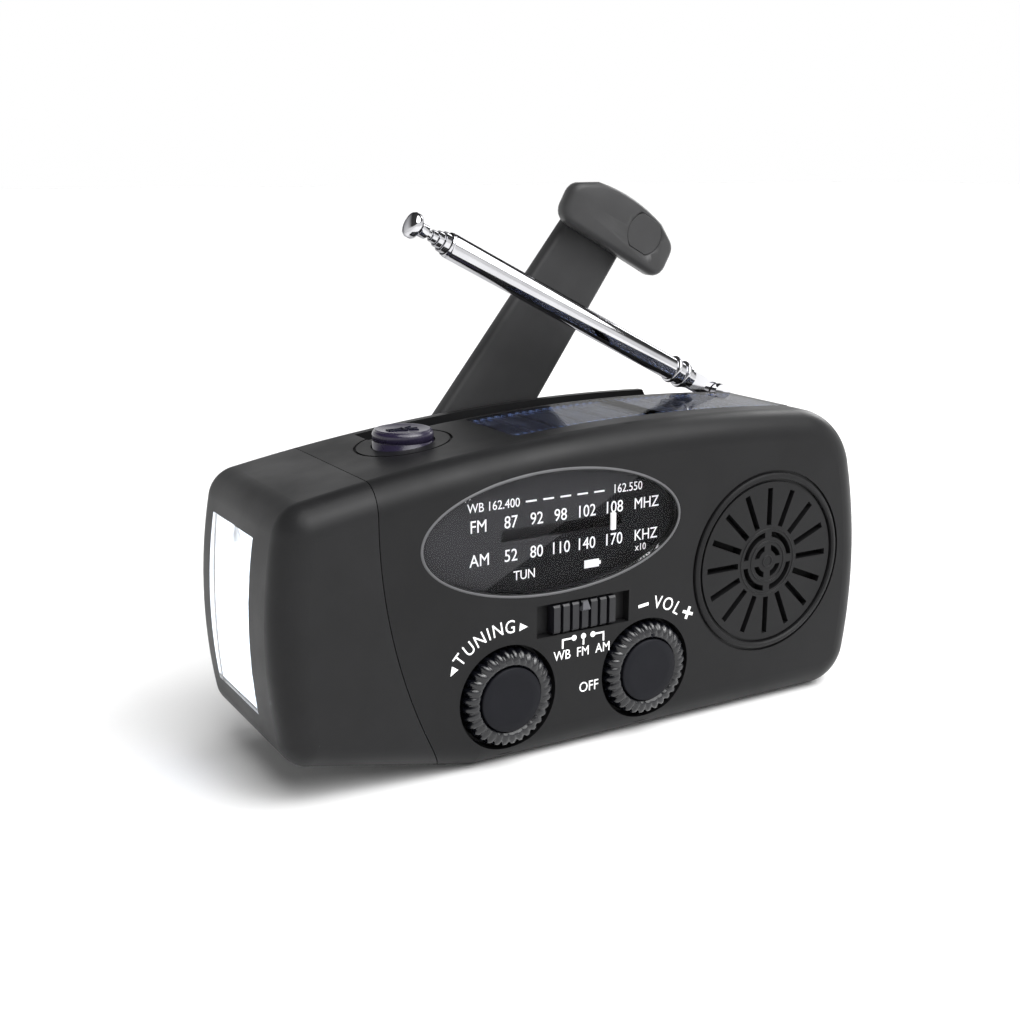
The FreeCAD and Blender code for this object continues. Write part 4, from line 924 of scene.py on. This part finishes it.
def paddle_outline(crown_steps=10):
    """The grip's outline round its pin, drawn level: a crowned top, a straight underside and round ends."""
    left, right, under, crown = -12.1, 16.1, -4.1, 7.5
    radius, crest_x, corner = 38.0, 2.0, 3.0

    def top_z(x):
        return crown - radius + math.sqrt(radius * radius - (x - crest_x) ** 2)

    points = arc_points((left + corner, under + corner), corner, 180, 270, 6)
    points += arc_points((right - corner, under + corner), corner, 270, 360, 6)
    points += arc_points((right - corner, top_z(right) - corner), corner, 0, 62, 5)
    span = right - left - 2 * corner
    for step in range(1, crown_steps):
        x = right - corner - span * step / crown_steps
        points.append((x, top_z(x)))
    points += arc_points((left + corner, top_z(left) - corner), corner, 112, 180, 5)
    return points


def cap_outline(growth):
    """The flat-sided round cap in the grip, drawn level, grown by so many mm."""
    centre, flat = (7.3, 2.2), 3.6
    cap_radius = 4.2
    half_turn = math.degrees(math.asin(flat / cap_radius))
    radius = cap_radius + growth
    points = arc_points(centre, radius, -half_turn, half_turn, 14)
    points += arc_points(centre, radius, 180 - half_turn, 180 + half_turn, 14)
    return [(x * MM, z * MM) for x, z in points]


def grip():
    """A pillowed paddle with a cap let into its outer end, drawn level and then turned on its pin."""
    low, high = box_corners("grip")
    outline = paddle_outline()
    mid_x, mid_z, half_x, half_z = 2.0, 1.7, 14.1, 5.8
    round_edge, rise = 1.7, 0.35
    thick = (high.y - low.y) / MM
    turns = [math.radians(15 * step) for step in range(1, 7)]
    face = [(0.95 * half_z, 0.0), (0.6 * half_z, 0.03)]
    edge = [(round_edge * (1 - math.sin(turn)), rise + round_edge * (1 - math.cos(turn)) * 0.9)
            for turn in turns]
    back = [(0.0, thick - 1.2), (0.3, thick - 0.4), (0.9, thick)]
    rings = []
    for inset, y in face + edge + back:
        scale_x, scale_z = (half_x - inset) / half_x, (half_z - inset) / half_z
        rings.append([((mid_x + (x - mid_x) * scale_x) * MM, low.y + y * MM,
                       (mid_z + (z - mid_z) * scale_z) * MM) for x, z in outline])
    pin_place = Vector((PIN.x, 0, PIN.z))
    clearance = 0.14
    bore = drum(2.05 * MM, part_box("grip_pin")[0][1] - 0.3 * MM, high.y + 1 * MM, (0, 0))
    pocket = prism("pocket", cap_outline(clearance), low.y - 1 * MM, low.y + 0.85 * MM)
    paddle = drilled(from_rings("grip_paddle", rings), bore, pocket)
    add_piece("grip_paddle", tilted(paddle, GRIP_TILT, pin_place), "handle", "grip_plastic", ("grip",))
    cap = prism("cap", cap_outline(0), low.y + 0.12 * MM, low.y + 0.8 * MM)
    piece = add_piece("grip_cap_plate", tilted(cap, GRIP_TILT, pin_place), "handle", "grip_plastic",
                      ("grip_cap",), smooth=False)
    soften(piece, 0.1 * MM)


def crank_arm():
    """A tapered blade with a rounded edge, widening to the hub, bored for its screw and its pin."""
    low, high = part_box("crank_arm")[0][1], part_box("crank_arm")[1][1]
    hub, wide, narrow, corner = 11.0, 9.9, 7.3, 1.5
    end = ARM_REACH / MM + 3.3
    past = 1 * MM
    taper = math.degrees(math.atan2(wide - narrow, end))
    start = math.degrees(math.acos(wide / hub))
    outline = arc_points((0, 0), hub, 180 - start, 360 + start, 40)
    outline += arc_points((narrow - corner, end - corner), corner, taper, 90, 5)
    outline += arc_points((-narrow + corner, end - corner), corner, 90, 180 - taper, 5)
    mesh = prism("arm", [(x * MM, z * MM) for x, z in outline], low, high)
    blank = bpy.data.objects.new("arm_blank", mesh)
    bpy.context.collection.objects.link(blank)
    soften(blank, 1.0 * MM, 3, 50)
    rounded = baked(blank)
    bpy.data.objects.remove(blank)
    screw_seat = drum(3.25 * MM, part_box("crank_screw")[0][1], high + past, (0, 0))
    pin_bore = drum(2.0 * MM, low - past, high + past, (0, ARM_REACH))
    blade = tilted(drilled(rounded, screw_seat, pin_bore), math.degrees(ARM_ANGLE), Vector((HUB.x, 0, HUB.z)))
    sharpen(add_piece("crank_arm_blade", blade, "crank", "arm_plastic", ("crank_arm",)).data)


def screw(name, place, radius, y_head, y_seat, body, shank=0, y_tip=0, stands_for=()):
    """A domed screw with a cross recess; its head faces +Y, and a shank is left out if it has no radius."""
    profile = [(0, y_head), (radius * 0.55, y_head - 0.12 * MM), (radius * 0.85, y_head - 0.4 * MM),
               (radius, y_head - 0.75 * MM), (radius, y_seat)]
    if shank:
        profile += [(shank, y_seat), (shank, y_tip), (0, y_tip)]
    else:
        profile.append((0, y_seat))
    mesh = lathe(name, profile, Vector((place[0], 0, place[1])), 40)
    arm, width, depth, past = radius * 0.6, radius * 0.17, 0.7 * MM, 1 * MM
    bars = [box_mesh((place[0] - half_x, y_head - depth, place[1] - half_z),
                     (place[0] + half_x, y_head + past, place[1] + half_z))
            for half_x, half_z in ((arm, width), (width, arm))]
    sharpen(add_piece(name, drilled(mesh, *bars), body, "screw_steel", stands_for).data)


def all_screws():
    low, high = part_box("crank_screw")
    screw("hub_screw", (HUB.x, HUB.z), 3.15 * MM, high[1], low[1], "crank", stands_for=("crank_screw",))
    low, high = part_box("cover_screws")
    head = 1.8 * MM
    for index, (x, z) in enumerate(((-38.5, 46.0), (-32.8, 8.5), (26.5, 52.5), (30.5, 23.5))):
        screw("cover_screw_%d" % index, (x * MM, z * MM), 2.5 * MM, high[1], high[1] - head, "radio",
              1.2 * MM, low[1], ("cover_screws",) if index == 0 else ())


# ---------------------------------------------------------------- antenna

TUBE_START, TUBE_MOUTH = 8.6 * MM, 72.6 * MM       # of the widest tube, along the antenna from its pivot


def antenna_tube():
    """The widest tube, with two rings near its foot and a rolled mouth."""
    tube, ring, bore = 2.45 * MM, 2.95 * MM, 2.2 * MM
    ring_height, chamfer = 0.9 * MM, 0.2 * MM
    profile = [(bore, TUBE_START), (tube, TUBE_START)]
    for low in (TUBE_START + 1.0 * MM, TUBE_START + 3.7 * MM):
        high = low + ring_height
        profile += [(tube, low), (ring - 0.15 * MM, low + 0.02 * MM), (ring, low + chamfer),
                    (ring, high - chamfer), (ring - 0.15 * MM, high - 0.02 * MM), (tube, high)]
    profile += [(tube, TUBE_MOUTH - 1.0 * MM), (tube - 0.12 * MM, TUBE_MOUTH - 0.85 * MM),
                (tube - 0.12 * MM, TUBE_MOUTH - 0.6 * MM), (tube, TUBE_MOUTH - 0.45 * MM),
                (tube - 0.1 * MM, TUBE_MOUTH - 0.05 * MM), (bore, TUBE_MOUTH)]
    return lathe("antenna_tube", profile + [profile[0]], Vector((0, 0, 0)), 64, axis="Z")


def antenna_button():
    """The button at the tip, beyond the four thinner sections."""
    sections, shown, neck, radius, height = 4, 1.2 * MM, 1.3 * MM, 2.45 * MM, 4.0 * MM
    foot = TUBE_MOUTH + sections * shown
    profile = [(0, foot), (neck, foot), (neck, foot + 1.2 * MM), (1.6 * MM, foot + 1.8 * MM),
               (2.3 * MM, foot + 2.2 * MM), (radius, foot + 2.5 * MM), (radius, foot + 3.4 * MM),
               (2.2 * MM, foot + 3.8 * MM), (1.4 * MM, foot + height), (0, foot + height)]
    return lathe("antenna_button", profile, Vector((0, 0, 0)), 48, axis="Z")


def antenna():
    """Both pieces are drawn upright and then leant over."""
    for mesh, body, node in ((antenna_tube(), "antenna", "antenna_section_1"),
                             (antenna_button(), "section_5", "antenna_tip")):
        leant = tilted(mesh, ANTENNA_ANGLE - 90, ANTENNA_PIVOT)
        sharpen(add_piece(mesh.name, leant, body, "chrome_tube", (node,)).data, 50)


# ---------------------------------------------------------------- back, underside and end

def door_details():
    """Finger ribs that stand up on the battery door, each shorter than the one above."""
    low, high = box_corners("battery_door")
    centre = (low.x + high.x) / 2
    ribs, pitch, first, longest, shorter, half_rib = 5, 1.2, 2.2, 9.0, 0.9, 0.3 * MM
    steps = ((0, -0.05), (0.1, 0.16), (0.35, 0.28))
    bars = []
    for index in range(ribs):
        z = high.z - (first + pitch * index) * MM
        half = (longest - shorter * index) * MM
        rings = []
        for inset, height in steps:
            x, y, thin = half - inset * MM, high.y + height * MM, half_rib - inset * MM * 0.3
            rings.append([(centre - x, y, z - thin), (centre + x, y, z - thin),
                          (centre + x, y, z + thin), (centre - x, y, z + thin)])
        bars.append(from_rings("rib", rings))
    add_piece("door_ribs", merged("door_ribs", bars), "door", "case_plastic", smooth=False)


def port_cover_details():
    """A pull lip near the top of the rubber cover."""
    low, high = box_corners("port_cover")
    margin, top, foot = 2.5, 0.9, 2.3
    rings = []
    for height, inset, slope in ((-1.2, 0, 0), (0.4, 0.1, 0.05), (0.7, 0.5, 0.3)):
        x, side = high.x + height * MM, (margin + inset) * MM
        z_high, z_low = high.z - (top + slope) * MM, high.z - (foot - slope) * MM
        rings.append([(x, low.y + side, z_high), (x, high.y - side, z_high),
                      (x, high.y - side, z_low), (x, low.y + side, z_low)])
    add_piece("port_cover_pull", from_rings("pull", rings), "flap", "soft_rubber", smooth=False)


def feet():
    """Rubber buttons with a shallow dish underneath."""
    dish, rim, radius, height = 0.25 * MM, 3.6 * MM, 3.95 * MM, 1.6 * MM
    profile = [(0, dish), (2.4 * MM, dish), (2.7 * MM, 0), (rim, 0), (radius, 0.35 * MM),
               (radius, height), (0, height)]
    for index, (x, y) in enumerate(((-20.0, -13.0), (50.0, -13.0), (-20.0, 13.5), (46.0, 5.0))):
        mesh = lathe("foot_%d" % index, profile, Vector((x * MM, y * MM, 0)), 48, axis="Z")
        add_piece("foot_%d" % index, mesh, "radio", "soft_rubber", ("rubber_feet",) if index == 0 else ())


def make_pieces():
    knob("tuning_knob", "tuning")
    knob("volume_knob", "volume", mark=True)
    dial_print()
    front_print()
    dial_rim()
    pointer()
    band_tray()
    speaker_cloth()
    speaker_bezel()
    band_slider()
    lamp_button()
    grip()
    crank_arm()
    all_screws()
    antenna()
    door_details()
    port_cover_details()
    feet()


make_camera()
make_studio()
dress_nodes()
make_pieces()
